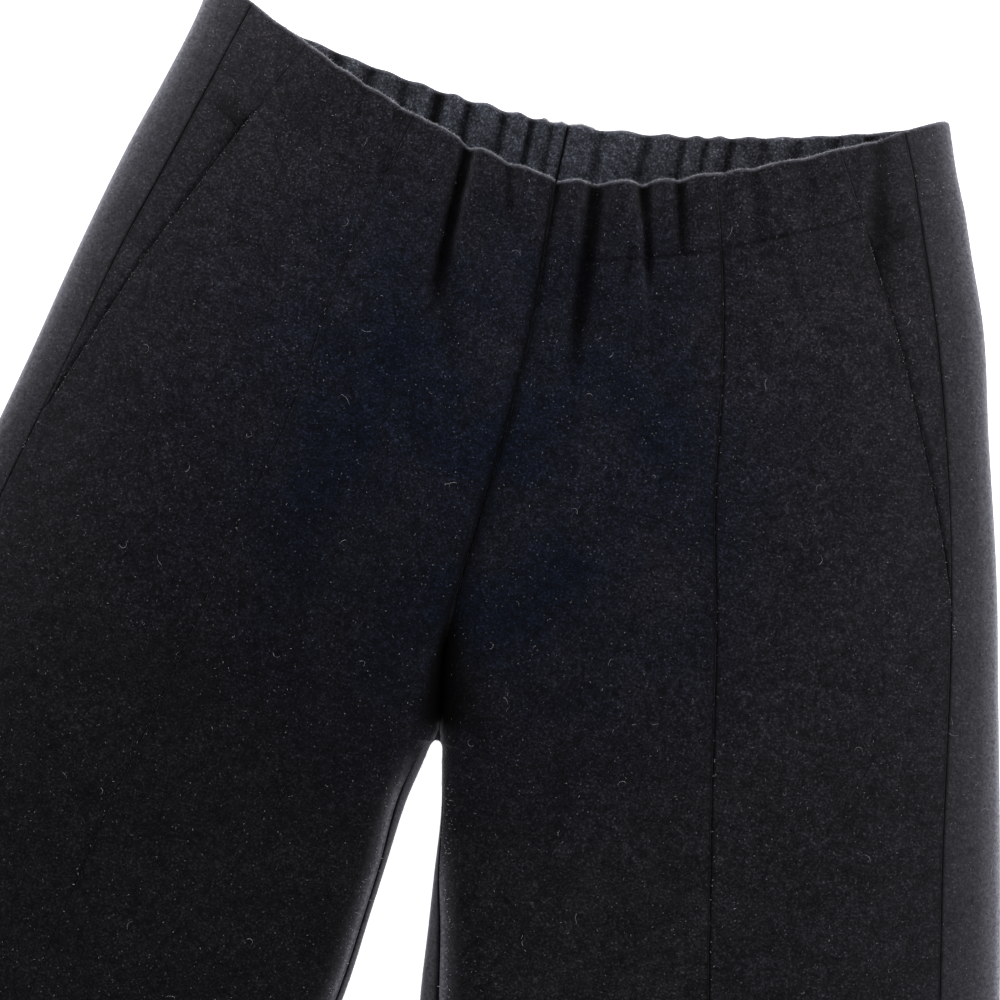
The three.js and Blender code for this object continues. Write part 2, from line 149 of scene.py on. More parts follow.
# %% Height of the soft wool, and the hollow at the crotch
LOFT = table(
    "y crown lip",
    (66, 27, 12),
    (0, 30, 13),
    (-60, 33, 14),
    (-150, 35, 15),
    (-283, 34, 15),
    (-450, 30, 13),
    (-700, 25, 11),
    (-1000, 18, 8.5),
)
HOLLOW = table(
    "y share right left",
    (66, 0.03, 6, 6),
    (-190, 0.04, 6, 6),
    (-210, 0.14, 7, 9),
    (-233, 0.55, 10, 17),
    (-262, 1.12, 16, 28),
    (-283, 1.3, 26, 38),
    (-310, 1.08, 46, 52),
    (-350, 1, 62, 66),
    (-450, 1, 70, 70),
    (-1000, 1, 70, 70),
)

# %% [markdown]
# ## Folds
#
# An elastic gathers the cloth into soft troughs and ridges. Each fold is one row: where it starts and
# ends, how wide it is and how high it rises. A trough has a negative rise. Simulated cloth would find
# folds of its own, but these have to be where this pair has them, so they are listed one by one.

# %% Folds of the front
FRONT_FOLDS = table(
    "from_x from_y to_x to_y width rise",
    (-150, 60, -160, -2, 5.5, -1.7),
    (-133, 56, -141, 2, 4, 1.0),
    (-114, 50, -125, -22, 4.6, -2.4),
    (-99, 46, -107, -40, 4.8, -2.6),
    (-79, 36, -86, -46, 5, -2.8),
    (-58, 30, -61, -56, 5.5, 2.0),
    (-45, 34, -47, -96, 3.7, -8.2),
    (-47, -36, -28, -122, 6.5, -2.4),
    (-36, 26, -36, -46, 4.4, 1.6),
    (-28, 16, -14, -42, 3.6, -3.3),
    (-17, 12, -9, -34, 4, 1.4),
    (0, 30, 3, -78, 3.5, -4.4),
    (3, -34, -1, -196, 4.6, -1.7),
    (1, -108, -6, -286, 5, -1.7),
    (17, 34, 30, -124, 5.3, -6.2),
    (9, 24, 14, -46, 3.8, 1.7),
    (29, 24, 38, -40, 4.2, 1.8),
    (36, 32, 62, -74, 3.7, -7.4),
    (43, 2, 57, -78, 3.8, 3.4),
    (60, -30, 40, -96, 5.6, 2.0),
    (42, -20, 46, -54, 3.6, -3.0),
    (54, 34, 73, -46, 3.7, -5.0),
    (65, 30, 80, -30, 3.5, 1.7),
    (76, 38, 88, -26, 3.2, -2.0),
    (86, 48, 112, -34, 4.4, -3.3),
    (111, 60, 131, -14, 6, -3.0),
    (133, 70, 149, 4, 4.6, -2.0),
    (145, 80, 173, -54, 6.6, -4.4),
    (-17, -42, -22, -104, 7, 2.0),
    (-62, -60, -56, -150, 12, -1.2),
    (8, -70, 18, -170, 9, -1.2),
    (30, -175, 62, -214, 12, -1.2),
    (12, -190, 27, -292, 10, 1.8),
    (-150, -430, -230, -560, 22, -1.2),
    (160, -480, 250, -600, 24, -1.1),
    (-190, -700, -290, -780, 24, -0.9),
    (210, -760, 330, -830, 26, -0.8),
)

# %% Gathers of the back casing, seen inside the waist
BACK_FOLDS = table(
    "x width rise",
    (-148, 6.4, 1.2),
    (-129, 6.4, 1.6),
    (-110, 6.4, 1.5),
    (-92, 6, 2.0),
    (-75, 5.4, 2.4),
    (-57.5, 4.1, 2.9),
    (-41, 5.4, 3.5),
    (-25, 4.0, 3.1),
    (-12.5, 3.1, 2.6),
    (-3.6, 2.7, 2.5),
    (7, 5.7, 3.6),
    (28, 7.6, 3.2),
    (49, 5.8, 3.0),
    (63.5, 3.2, 2.8),
    (74.5, 3.6, 2.9),
    (89, 5.2, 2.5),
    (105, 5.8, 1.9),
    (122, 6.2, 1.8),
    (139, 6, 1.4),
    (155, 5, 1.1),
)
BACK_FOLD_RUN = 34.0  # the gathers die out this far below the casing
BACK_FOLD_END = 168.0
BACK_FOLD_FADE = 10.0
print(len(FRONT_FOLDS), "front folds,", len(BACK_FOLDS), "back gathers")

# %% [markdown]
# ## Curves through the tables
#
# `column` turns one column of a table into a smooth function. It is a Hermite curve: it passes each
# row with the slope of its neighbours. All helpers take whole arrays, because numpy works out a
# million points in a second where a Python loop would need minutes.

# %% Smooth helpers
def smooth(t):
    t = np.clip(t, 0, 1)
    return t * t * (3 - 2 * t)


def mix(a, b, t):
    return a + (b - a) * t


def below(y, start, over):
    """0 above a level and 1 well below it."""
    return smooth((start - y) / over)


def above(y, start, over):
    return smooth((y - start) / over)


def near(distance, width, power=2):
    """1 on a line and 0 well away from it."""
    return np.exp(-((distance / width) ** power))


def column(rows, name):
    ys = np.array([row["y"] for row in rows], float)
    values = np.array([row[name] for row in rows], float)
    last = len(ys) - 1
    before = np.maximum(np.arange(last + 1) - 1, 0)
    after = np.minimum(np.arange(last + 1) + 1, last)
    slopes = (values[after] - values[before]) / (ys[after] - ys[before])

    def at(y):
        y = np.asarray(y, float)
        i = np.clip(np.searchsorted(-ys, -y, side="right") - 1, 0, last - 1)
        length = ys[i + 1] - ys[i]
        t = np.clip((y - ys[i]) / length, 0, 1)
        bend = slopes[i] * t * (1 - t) ** 2 - slopes[i + 1] * t ** 2 * (1 - t)
        return mix(values[i], values[i + 1], t ** 2 * (3 - 2 * t)) + bend * length

    return at


edge_half = column(OUTLINE, "edge")
side_half = column(OUTLINE, "side")
leg_half = column(OUTLINE, "leg")
ease = column(OUTLINE, "ease")
centre_x = column(CENTRE, "x")
inner_half = column(INNER, "edge")
inseam_in = {"right": column(INNER, "right"), "left": column(INNER, "left")}
crown = column(LOFT, "crown")
lip = column(LOFT, "lip")
hollow_share = column(HOLLOW, "share")
hollow_width = {"right": column(HOLLOW, "right"), "left": column(HOLLOW, "left")}
print("half-width of the outline at the crotch:", round(float(edge_half(FORK)), 1), "mm")

# %% [markdown]
# ## The lines drawn on one half
#
# A tailor chalks lines on the cloth: the outer edge, the side seam, the seam down the front of the
# leg, the slanting pocket edge, the inseam. `Half` holds them for the wearer's right or left. Each
# line gives its distance out from the middle at a height y.

# %% Right and left half
class Half:
    def __init__(self, name):
        self.name = name
        self.sign = 1 if name == "left" else -1

    def eased(self, width, y):
        return width * (1 + self.sign * ease(y))

    def edge(self, y):
        further = sum(share * below(y, start, over) for start, over, share in LEFT_EDGE_STEPS)
        more = LEFT_STRIP["edge"] * further if self.name == "left" else 0
        return self.eased(edge_half(y), y) + more

    def side(self, y):
        less = LEFT_STRIP["side"] * below(y, *LEFT_SIDE_STEP) if self.name == "left" else 0
        return self.eased(side_half(y), y) + less

    def leg(self, y):
        return self.eased(leg_half(y), y)

    def inner(self, y):
        return np.where(y > FORK, 0, inner_half(y))

    def seam_x(self, y):
        return np.where(y > FORK, self.sign * centre_x(y), 0)

    def pocket(self, y):
        t = (POCKET["top_y"] - y) / (POCKET["top_y"] - POCKET["end_y"])
        line = mix(POCKET["top_x"], POCKET["end_x"], t) + 4 * POCKET["bow"] * t * (1 - t)
        return self.eased(line, y)

    def front(self, y):
        opened = CROTCH_OPENS * below(y, FORK + CROTCH_OPENS_OVER, CROTCH_OPENS_OVER)
        above = self.seam_x(y) + SEAM / 2 + opened
        return np.where(y > FORK, above, self.inner(y) + inseam_in[self.name](y))


def beside(line, by):
    """A chalk line that runs at a distance from another one."""
    return lambda y: line(y) + by


def side_line(half):
    return beside(half.side, -SEAM / 2)


HALVES = [Half("right"), Half("left")]
print("halves:", [half.name for half in HALVES])

# %% [markdown]
# ## How the cloth lies
#
# Each level of the cloth is a line across the garment. At the waist these lines dip in the middle, and
# down the legs they turn with the leg. `meet` finds where such a line crosses a chalk line, by closing
# in on it step by step.

# %% Cross lines and heights
def level_y(half, level, out, on_floor):
    kept = 1 - smooth((level + CASING) / (DIP_END + CASING))
    front = FRONT_DIP[half.name] * np.abs(out / FRONT_DIP_AT) ** FRONT_DIP_POWER
    slant = BACK_SLANT * half.sign * out
    back = BACK_RISE + BACK_DIP * np.abs(out / BACK_DIP_AT) ** BACK_DIP_POWER + slant
    turned = LEG_SPREAD * smooth((level - FORK) / (SPREAD_END - FORK))
    axis = (edge_half(level) + np.where(level > FORK, 0, inner_half(level))) / 2
    return level + kept * mix(front, back, on_floor) + turned * (out - axis)


MEET_STEPS = 12


def meet(half, level, line, on_floor=0.0):
    out = line(level)
    for _ in range(MEET_STEPS):
        out = line(level_y(half, level, out, on_floor))
    return out


def rounding(t):
    return (1 - (1 - np.clip(t, 0, 1)) ** ROUND_POWER) ** (1 / ROUND_POWER)


def upper_z(half, out, y):
    outer = 1 - rounding((half.edge(y) - out) / ROUND_OUT)
    hollow = 1 - rounding((out - half.seam_x(y) - half.inner(y)) / hollow_width[half.name](y))
    return crown(y) - (crown(y) - lip(y)) * (outer + hollow_share(y) * hollow)


def inner_z(y):
    return crown(y) - (crown(y) - lip(y)) * hollow_share(y)


# %% Rise of the folds
def front_relief(half, out, y):
    x = half.sign * out
    rise = np.zeros_like(x)
    for fold in FRONT_FOLDS:
        dx = fold["to_x"] - fold["from_x"]
        dy = fold["to_y"] - fold["from_y"]
        t = ((x - fold["from_x"]) * dx + (y - fold["from_y"]) * dy) / (dx * dx + dy * dy)
        away = (x - fold["from_x"] - t * dx) / fold["width"]
        rise = rise + fold["rise"] * np.exp(-away * away) * smooth(4 * t) * smooth(2 * (1 - t))
    return rise


def puff(level):
    return np.where(level > -CASING, PUFF * np.sin(-np.pi * level / CASING), 0)


def back_relief(half, out, level):
    x = half.sign * out
    in_band = 1 - below(level, -CASING, BACK_FOLD_RUN)
    in_width = below(out, BACK_FOLD_END, BACK_FOLD_FADE)
    rise = sum(fold["rise"] * near(x - fold["x"], fold["width"]) for fold in BACK_FOLDS)
    return rise * in_band * in_width


# %% [markdown]
# ## Two surfaces
#
# The front is one surface over the top of the garment. The back starts at the side seam on top, rolls
# over the outer edge, runs along the floor and comes up the inner side of the leg to the inseam. Each
# surface takes `u` across and `level` down, and gives a base point, how far folds lift it and how far
# it is sunk.

# %% Front surface
SCALLOP = 0.24  # how far a fold pulls the waist edge along
SCALLOP_RUN = 15.0


def front_surface(half, inner_line, outer_line, sunk=None):
    def at(u, level):
        inner = meet(half, level, inner_line)
        outer = meet(half, level, outer_line)
        out = mix(inner, outer, u)
        y = level_y(half, level, out, 0.0)
        z = upper_z(half, out, y)
        relief = front_relief(half, out, y) + puff(level)
        pulled = SCALLOP * (relief - puff(level)) * (1 - smooth(-level / SCALLOP_RUN))
        sink = sunk(out, y, level) if sunk else np.zeros_like(out)
        return np.stack([half.sign * out, y + pulled, z], -1), relief, sink

    return at


# %% Back surface
BACK_SCALLOP = 0.42
BACK_SCALLOP_MIDDLE = 1.6  # rise of a gather that leaves the waist edge where it is


def back_surface(half):
    def at(u, level):
        on_floor = smooth(u)
        edge = meet(half, level, half.edge, on_floor)
        seam = meet(half, level, beside(half.side, SEAM / 2))
        on_leg = level <= FORK
        inner = np.where(on_leg, meet(half, level, half.inner, 1.0), 0)
        risen = np.where(on_leg, 1, below(level, FORK + FORK_RISE, FORK_RISE))
        inseam = np.maximum(meet(half, level, half.front) - SEAM, inner + INSEAM_STRIP)
        under = (np.clip(u, 1, 2) - 1) * np.pi / 2
        rise_in = (4 - np.clip(u, 3, 4)) * np.pi / 2
        over = (np.clip(u, 4, 5) - 4) * np.pi / 2
        outs = [
            mix(seam, edge, np.sin(np.clip(u, 0, 1) * np.pi / 2)),
            edge - UNDER_OUT * (1 - np.cos(under)),
            mix(edge - UNDER_OUT, inner + UNDER_IN, np.clip(u, 2, 3) - 2),
            inner + UNDER_IN * mix(4 - np.clip(u, 3, 4), 1 - np.cos(rise_in), risen),
            mix(inner, inseam, 1 - np.cos(over)),
        ]
        where = np.clip(np.floor(u), 0, 4).astype(int)
        where = np.where((where == 4) & ~on_leg, 3, where)
        out = np.choose(where, outs)
        y = level_y(half, level, out, on_floor)
        tops = upper_z(half, out, y)
        heights = [
            tops,
            lip(y) * (1 - np.sin(under)),
            np.zeros_like(out),
            risen * (inner_z(y) - SEAM / 2) * (1 - np.sin(rise_in)),
            tops,
        ]
        z = np.choose(where, heights)
        lying = (u > 2) & (u < 4)
        relief = np.where(lying, back_relief(half, out, level), 0)
        pulled = BACK_SCALLOP * (relief - BACK_SCALLOP_MIDDLE) * (1 - smooth(-level / SCALLOP_RUN))
        pulled = np.where(lying, pulled * smooth((u - 2) / 0.1), 0)
        return np.stack([half.sign * out, y + pulled, z], -1), relief, np.zeros_like(out)

    return at


# %% [markdown]
# ## Points at a depth
#
# Cloth has a thickness, so a piece needs points below its outer surface too. The direction straight
# down through the cloth comes from neighbouring points, one step across and one step down.

# %% Outward direction and points below the surface
NEAR_U = 0.004
NEAR_LEVEL = 0.4


def outward(surface, half, u, level):
    across = surface(u + NEAR_U, level)[0] - surface(u - NEAR_U, level)[0]
    down = surface(u, level - NEAR_LEVEL)[0] - surface(u, level + NEAR_LEVEL)[0]
    normal = np.cross(down, across) * half.sign
    return normal / np.maximum(np.linalg.norm(normal, axis=-1, keepdims=True), 1e-9)


def cloth_points(surface, half, u, level, depth, share=1.0):
    base, relief, sunk = surface(u, level)
    points = base - outward(surface, half, u, level) * (depth + sunk)[..., None]
    points[..., 2] += relief * share
    return points


# %% [markdown]
# ## A closed shell
#
# A piece of cloth is a grid of points for its outer side and one for its inner side, joined round the
# rim. The mesh is built from whole arrays of vertices and faces, which is the quickest way in Blender
# for a shape that comes from formulas. Small numbers stored on the points, called attributes, tell
# the material later where a seam is, and where highlight, sheen and shade are painted.

# %% Shell from two grids of points
def rim_edges(quads):
    edges = np.concatenate([quads[:, [0, 1]], quads[:, [1, 2]], quads[:, [2, 3]], quads[:, [3, 0]]])
    keys = np.sort(edges, axis=1)
    _, first, counts = np.unique(keys, axis=0, return_index=True, return_counts=True)
    return edges[first[counts == 1]]


def shell(name, half, outer, inner, marks, keep=None):
    rows, columns, _ = outer.shape
    index = np.arange(rows * columns).reshape(rows, columns)
    quads = np.stack([index[:-1, :-1], index[1:, :-1], index[1:, 1:], index[:-1, 1:]], -1)
    quads = quads[keep] if keep is not None else quads.reshape(-1, 4)
    if half.sign < 0:
        quads = quads[:, ::-1]
    count = rows * columns
    rim = rim_edges(quads)
    joined = np.stack([rim[:, 1], rim[:, 0], rim[:, 0] + count, rim[:, 1] + count], -1)
    faces = np.concatenate([quads, quads[:, ::-1] + count, joined])
    points = np.concatenate([outer.reshape(-1, 3), inner.reshape(-1, 3)])
    used, faces = np.unique(faces, return_inverse=True)
    faces = faces.reshape(-1, 4)
    points = (points[used] + [0, SHIFT, 0]) / 1000
    mesh = bpy.data.meshes.new(name)
    mesh.from_pydata(points.tolist(), [], faces.tolist())
    for mark, values in marks.items():
        layer = mesh.attributes.new(mark, "FLOAT", "POINT")
        both = np.concatenate([values.ravel(), values.ravel()])
        layer.data.foreach_set("value", both[used].astype(np.float32))
    mesh.polygons.foreach_set("use_smooth", np.ones(len(faces), bool))
    mesh.update()
    piece = bpy.data.objects.new(name, mesh)
    bpy.context.scene.collection.objects.link(piece)
    return piece


def along(points):
    steps = np.linalg.norm(np.diff(points, axis=1), axis=-1)
    return np.concatenate([np.zeros((points.shape[0], 1)), np.cumsum(steps, axis=1)], axis=1)


# %% [markdown]
# ## Rows and columns of points
#
# Points stand close together where the cloth bends tightly: at the rolled waist edge, at the line of
# stitches below the casing, beside every seam and at the hem. Elsewhere they are far apart. The
# shoulders beside a seam are what makes it look sewn, so the cloth's outer side drops there in a small
# quarter round.

# %% Levels from the waist to the hem
SEAM_ROUND = 1.1  # width of the rounding beside a seam
SEAM_DEPTH = 1.5
EDGE_STEPS = np.array([0, 0.12, 0.32, 0.62, 1.0, 1.5, 2.4])
HEM_ROUND = 1.9
HEM_TURN = 32.0  # depth of the turned-up hem, where the cloth is double
HEM_STEP = 3.0


def stepped(start, stop, step):
    return list(np.linspace(start, stop, max(2, round(abs(stop - start) / step) + 1)))


STITCH_LEVELS = [-36.5, -37.6, -38.4, -39, -39.5, -40, -40.5, -41, -41.7, -42.8, -44.2]
BODY_LEVELS = (
    stepped(-ROLL, -35, 1.7)
    + STITCH_LEVELS
    + stepped(-46.2, -112, 2.4)
    + stepped(-115.5, -205, 3.6)
    + stepped(-208, -279, 2.6)
    + [-281, -282.4, FORK, -283.8, -285, -286.6, -288.6, -291, -294]
    + stepped(-297.5, -360, 3.8)
    + stepped(-366, -915, 7.5)
    + stepped(-918, HEM + HEM_ROUND, 4.2)
)
ANGLES = np.linspace(0, np.pi / 2, 7)


def wall_rows():
    """Each row is a level and a depth for the cloth's outer side, and then both for its inner side."""
    rows = []
    thin = ROLL - WALL
    for angle in ANGLES[:0:-1]:
        rows.append(
            [
                -ROLL + ROLL * np.sin(angle),
                ROLL * (1 - np.cos(angle)),
                -ROLL + thin * np.sin(angle),
                ROLL - thin * np.cos(angle),
            ]
        )
    for level in BODY_LEVELS:
        turned = below(level, HEM + HEM_TURN + HEM_STEP / 2, HEM_STEP)
        rows.append([level, 0, level, mix(WALL, 2 * HEM_ROUND, turned)])
    for angle in ANGLES[1:]:
        level = HEM + HEM_ROUND * (1 - np.sin(angle))
        rows.append([level, HEM_ROUND * (1 - np.cos(angle)), level, HEM_ROUND * (1 + np.cos(angle))])
    return np.array(rows)


print(len(wall_rows()), "rows of points down a panel")

# %% Columns across a piece, close together beside its seams
def across(width, count):
    close = EDGE_STEPS[None, :] / width[:, None]
    middle = np.linspace(0, 1, count)[None, 1:-1]
    reach = close[:, -1:]
    return np.hstack([close, reach + middle * (1 - 2 * reach), 1 - close[:, ::-1]])


# %% The line of stitches below the casing
GROOVE = {"right": 0.13, "left": 0.34, "from": 8.0, "over": 22.0, "width": 1.4}
HIP_GROOVE = {"less": 0.8, "from": 182.0, "over": 14.0}  # shallower again beyond the hip


def stitch_groove(half, points, level):
    out = np.abs(points[..., 0])
    beyond_hip = above(out, HIP_GROOVE["from"], HIP_GROOVE["over"])
    deep = GROOVE[half.name] * above(out, GROOVE["from"], GROOVE["over"])
    deep = deep * (1 - HIP_GROOVE["less"] * beyond_hip)
    return deep * near(level + CASING, GROOVE["width"])


# %% Shadow in the folds and in the hollow at the crotch
FOLD_SHADE = {"most": 0.74, "from": 0.4, "over": 4.6}  # by the depth of the trough
HOLLOW_SHADE = {"from": -196.0, "over": 40.0, "widens": -218.0, "end": -281.0, "end_over": 12.0}
HOLLOW_WIDTH = {"right": (2.5, 9.5, 58.0), "left": (9.0, 17.0, 50.0)}  # high up, low down, over this much
RIGHT_SHADE_POWER = 6  # the shadow ends sharply on the right half and softly on the left
SEAM_SHADE = {"most": 0.6, "width": 3.0, "from": -36.0, "over": 20.0}


def fold_crease(relief):
    return FOLD_SHADE["most"] * below(relief, -FOLD_SHADE["from"], FOLD_SHADE["over"])


def deep_crease(half, points, relief):
    """How deep a point lies in a fold, or in the hollow at the crotch, from 0 to 1."""
    out, y = half.sign * points[..., 0], points[..., 1]
    from_seam = np.abs(out - half.seam_x(y) - half.inner(y))
    end = above(y, HOLLOW_SHADE["end"], HOLLOW_SHADE["end_over"])
    high, low, over = HOLLOW_WIDTH[half.name]
    width = mix(high, low, below(y, HOLLOW_SHADE["widens"], over))
    if half.name == "right":
        hollow = 1 / (1 + (from_seam / width) ** RIGHT_SHADE_POWER)
    else:
        hollow = near(from_seam, width)
    hollow = hollow * below(y, HOLLOW_SHADE["from"], HOLLOW_SHADE["over"]) * end
    valley = SEAM_SHADE["most"] * near(from_seam, SEAM_SHADE["width"])
    valley = valley * below(y, SEAM_SHADE["from"], SEAM_SHADE["over"]) * end
    return np.maximum(fold_crease(relief), np.maximum(hollow, valley))


# %% Painted sheen near the edges, and the seam's two shoulders
EDGE_SHEEN_PAINTED = {"most": 0.24, "reach": 30.0}
CORNER_SHEEN_PAINTED = {"most": 0.22, "reach": 40.0, "down_to": -90.0}
UPRIGHT = {"from": -222.0, "to": -316.0, "over": 20.0}  # where the cloth stands up beside the seam


def near_edge(half, points, level):
    """How much sheen is painted as pale colour on the front: near the outer edge and the waist's corners.
    """
    out, y = half.sign * points[..., 0], points[..., 1]
    from_edge = half.edge(y) - out
    low = CORNER_SHEEN_PAINTED["down_to"]
    corner = near(from_edge, CORNER_SHEEN_PAINTED["reach"]) * above(level, low, -low)
    return EDGE_SHEEN_PAINTED["most"] * np.exp(-from_edge / EDGE_SHEEN_PAINTED["reach"]) + CORNER_SHEEN_PAINTED["most"] * corner


def seam_drop(distance):
    t = 1 - np.clip(distance / SEAM_ROUND, 0, 1)
    return SEAM_DEPTH * (1 - np.sqrt(1 - t * t))


def clear_of_fork(level):
    """1 away from the crotch and 0 close to it, where the cloth stands upright beside the seam."""
    over = UPRIGHT["over"]
    return 1 - below(level, UPRIGHT["from"], over) * above(level, UPRIGHT["to"], over)


# %% One panel
# a seam also gets this share of the painted shade in the crease mark
SEAM_CREASE = 0.8
CREST_HIGHLIGHT_REACH = 1.5  # how far the painted highlight on the waist's crest reaches down


def make_panel(name, half, surface, us, rows, seams, keep=None, last=None, **more):
    """us is a grid of places across the panel, and rows are its levels and depths.

    seams says how much the seam on each of its two sides shows, first below the casing and then in it.
    more can hold at_fork, the side that runs to the crotch; fade, how much of its seams shows in each
    row; lift, how far it stands up; pale and shade, marks for painted sheen and painted shadow.
    """
    level_out, depth_out, level_in, depth_in = [rows[:, i][:, None] + 0 * us for i in range(4)]
    points, relief, _ = surface(us, level_out)
    run = along(points)
    last = np.full(len(rows), us.shape[1] - 1) if last is None else last
    away = [run, np.abs(run[np.arange(len(rows)), last][:, None] - run)]
    in_casing = above(level_out, -CASING - 2, 4)
    shows = [mix(low, high, in_casing) * more.get("fade", 1) for low, high in seams]
    if "at_fork" in more:
        shows[more["at_fork"]] = shows[more["at_fork"]] * clear_of_fork(level_out)
    drop = np.maximum(shows[0] * seam_drop(away[0]), shows[1] * seam_drop(away[1]))
    groove = stitch_groove(half, points, level_out)
    outer = cloth_points(surface, half, us, level_out, depth_out + drop + groove)
    inner = cloth_points(surface, half, us, level_in, depth_in)
    if "lift" in more:
        outer[..., 2] += more["lift"](away[1], level_out)
    dark = [share * near(distance, SEAM_ROUND) for share, distance in zip(shows, away)]
    seam = np.maximum(np.maximum(dark[0], dark[1]), groove)
    crease = np.maximum(deep_crease(half, points, relief), SEAM_CREASE * seam)
    pale = near_edge(half, points, level_out)
    if "pale" in more:
        pale = np.maximum(pale, more["pale"](us, level_out, away[0]))
    if "shade" in more:
        crease = np.maximum(crease, more["shade"](level_out, away[0]))
    marks = {"seam": seam, "crest_highlight": np.exp(level_out / CREST_HIGHLIGHT_REACH), "crease": crease, "pale": pale}
    return shell(name, half, outer, inner, marks, keep)


# %% [markdown]
# ## Felted wool
#
# Melton is wool that was woven, shrunk and brushed until the weave disappears. Close up it is a mat of
# short fibres: nearly black navy, with darker and paler hairs mixed in and a few white flecks. The
# colour is built up from noises of different sizes, which read the place in space and so need no
# unwrapping. Bump gives the mat its grain, and sheen gives the pale bloom that fibres show where the
# cloth turns away.
# Light and shade are also painted into the colour: paler near the edges, beside the inseams and on the
# waist's crest, darker in the folds, the hollow at the crotch and two patches on the thighs, and paler all
# over on the inside of the casing.

# %% Short ways to add nodes
class Recipe:
    """The nodes of one material, or of the light all round, with a short way to add each kind."""

    def __init__(self, tree):
        self.nodes = tree.nodes
        self.links = tree.links
        self.places = self.nodes.new("ShaderNodeTexCoord").outputs

    def fill(self, node, values):
        """Sets a node's inputs by their names, to a value or to what another node gives."""
        for name, value in values.items():
            if hasattr(value, "links"):
                self.links.new(value, node.inputs[name])
            else:
                node.inputs[name].default_value = value
        return node

    def add(self, kind, values):
        return self.fill(self.nodes.new("ShaderNode" + kind), values)

    def attribute(self, name):
        node = self.nodes.new("ShaderNodeAttribute")
        node.attribute_name = name
        return node.outputs["Fac"]

    def noise(self, scale, detail=2.0, rough=0.5):
        values = {"Vector": self.places["Object"], "Scale": scale, "Detail": detail, "Roughness": rough}
        return self.add("TexNoise", values).outputs["Fac"]

    def spot(self, place, reach):
        """1 at a place, falling to 0 at a distance from it."""
        mapping = self.nodes.new("ShaderNodeMapping")
        mapping.vector_type = "TEXTURE"
        values = {"Vector": self.places["Object"], "Location": place, "Scale": (reach, reach, reach)}
        self.fill(mapping, values)
        gradient = self.add("TexGradient", {"Vector": mapping.outputs["Vector"]})
        gradient.gradient_type = "SPHERICAL"
        return gradient.outputs["Fac"]

    def ramp(self, value, *stops):
        """Greys that follow a value. Each stop is a place on the ramp and the grey there."""
        band = self.add("ValToRGB", {"Fac": value})
        elements = band.color_ramp.elements
        while len(elements) < len(stops):
            elements.new(0.5)
        for element, (place, light) in zip(elements, stops):
            element.position = place
            element.color = (light, light, light, 1)
        return band.outputs["Color"]

    def blend(self, share, a, b, kind="MIX"):
        node = self.nodes.new("ShaderNodeMix")
        node.data_type = "RGBA"
        node.blend_type = kind
        for name, value, kind_of_socket in (("Factor", share, "VALUE"), ("A", a, "RGBA"), ("B", b, "RGBA")):
            socket = [s for s in node.inputs if s.name == name and s.type == kind_of_socket][0]
            if hasattr(value, "links"):
                self.links.new(value, socket)
            else:
                socket.default_value = value if name == "Factor" else (*value, 1)
        return [s for s in node.outputs if s.type == "RGBA"][0]

    def times(self, a, b):
        return self.blend(1.0, a, b, "MULTIPLY")


def new_material(name):
    material = bpy.data.materials.new(name)
    material.use_nodes = True
    return material, Recipe(material.node_tree), material.node_tree.nodes["Principled BSDF"]


# %% Colours of the wool
NAVY = (0.0046, 0.0074, 0.0165)
CHARCOAL = (0.0195, 0.018, 0.0215)
# painted light: the inside of the casing is the same wool, given these paler colours as a lit copy
INSIDE_NAVY = (0.05, 0.058, 0.082)
INSIDE_CHARCOAL = (0.058, 0.06, 0.072)
DOT = (0.14, 0.145, 0.175)
# painted sheen: pale colour mixed in near the edges and beside the inseams
PAINTED_SHEEN_COLOUR = (0.3, 0.3, 0.345)
# painted highlight: pale colour on the crest of the waist edge
CREST_HIGHLIGHT_COLOUR = (0.3, 0.3, 0.36)
BLUISH_AT = (-0.01, 0.31, 0.03)  # middle of the bluish area on the front, in metres
BLUISH_REACH = 0.2
PAINTED_SHADE_SPOTS = [  # painted shade: two darker patches on the thighs; place, reach, share of light
    ((-0.11, 0.1, 0.03), 0.26, 0.5),
    ((0.17, 0.12, 0.03), 0.2, 0.8),
]
CLOUDS = [(55, 0.78, 1.24), (230, 0.62, 1.5)]  # scale of the patches, darkest, palest
HAIRS_IN_MAT = [(0.34, 0.45), (0.5, 0.85), (0.6, 1.6), (0.7, 4.0)]
IN_SEAM = [(0.0, 1), (1.0, 0.4)]
# painted shade: the crease mark darkens the colour in folds, the hollow at the crotch, the pocket slot and
# along seams
IN_CREASE = [(0.0, 1), (0.45, 0.5), (0.8, 0.12), (1.0, 0.02)]
PAINTED_SHEEN_RAMP = [(0.0, 0), (0.25, 0.05), (0.6, 0.13), (0.88, 0.34), (1.0, 0.8)]
BLOOM = [(0.0, 0.8), (0.8, 0.1), (1.0, 0)]  # less of it where shade is painted deep in a fold


def bluish(wool):
    """1 in the middle of the front, where the colour turns to the darker navy, and 0 away from it, in
    patches.
    """
    spot = wool.ramp(wool.spot(BLUISH_AT, BLUISH_REACH), (0.0, 0.12), (0.6, 1))
    return wool.times(spot, wool.ramp(wool.noise(20, 3, 0.6), (0.3, 0.45), (0.62, 1)))


def pale_dots(wool, scale, size, share):
    cells = wool.add("TexVoronoi", {"Vector": wool.places["Object"], "Scale": scale})
    dots = wool.ramp(cells.outputs["Distance"], (size, 1), (1.8 * size, 0))
    chosen = wool.add("SeparateColor", {"Color": cells.outputs["Color"]})
    return wool.times(dots, wool.ramp(chosen.outputs["Red"], (1 - share, 0), (1 - share / 6, 1)))


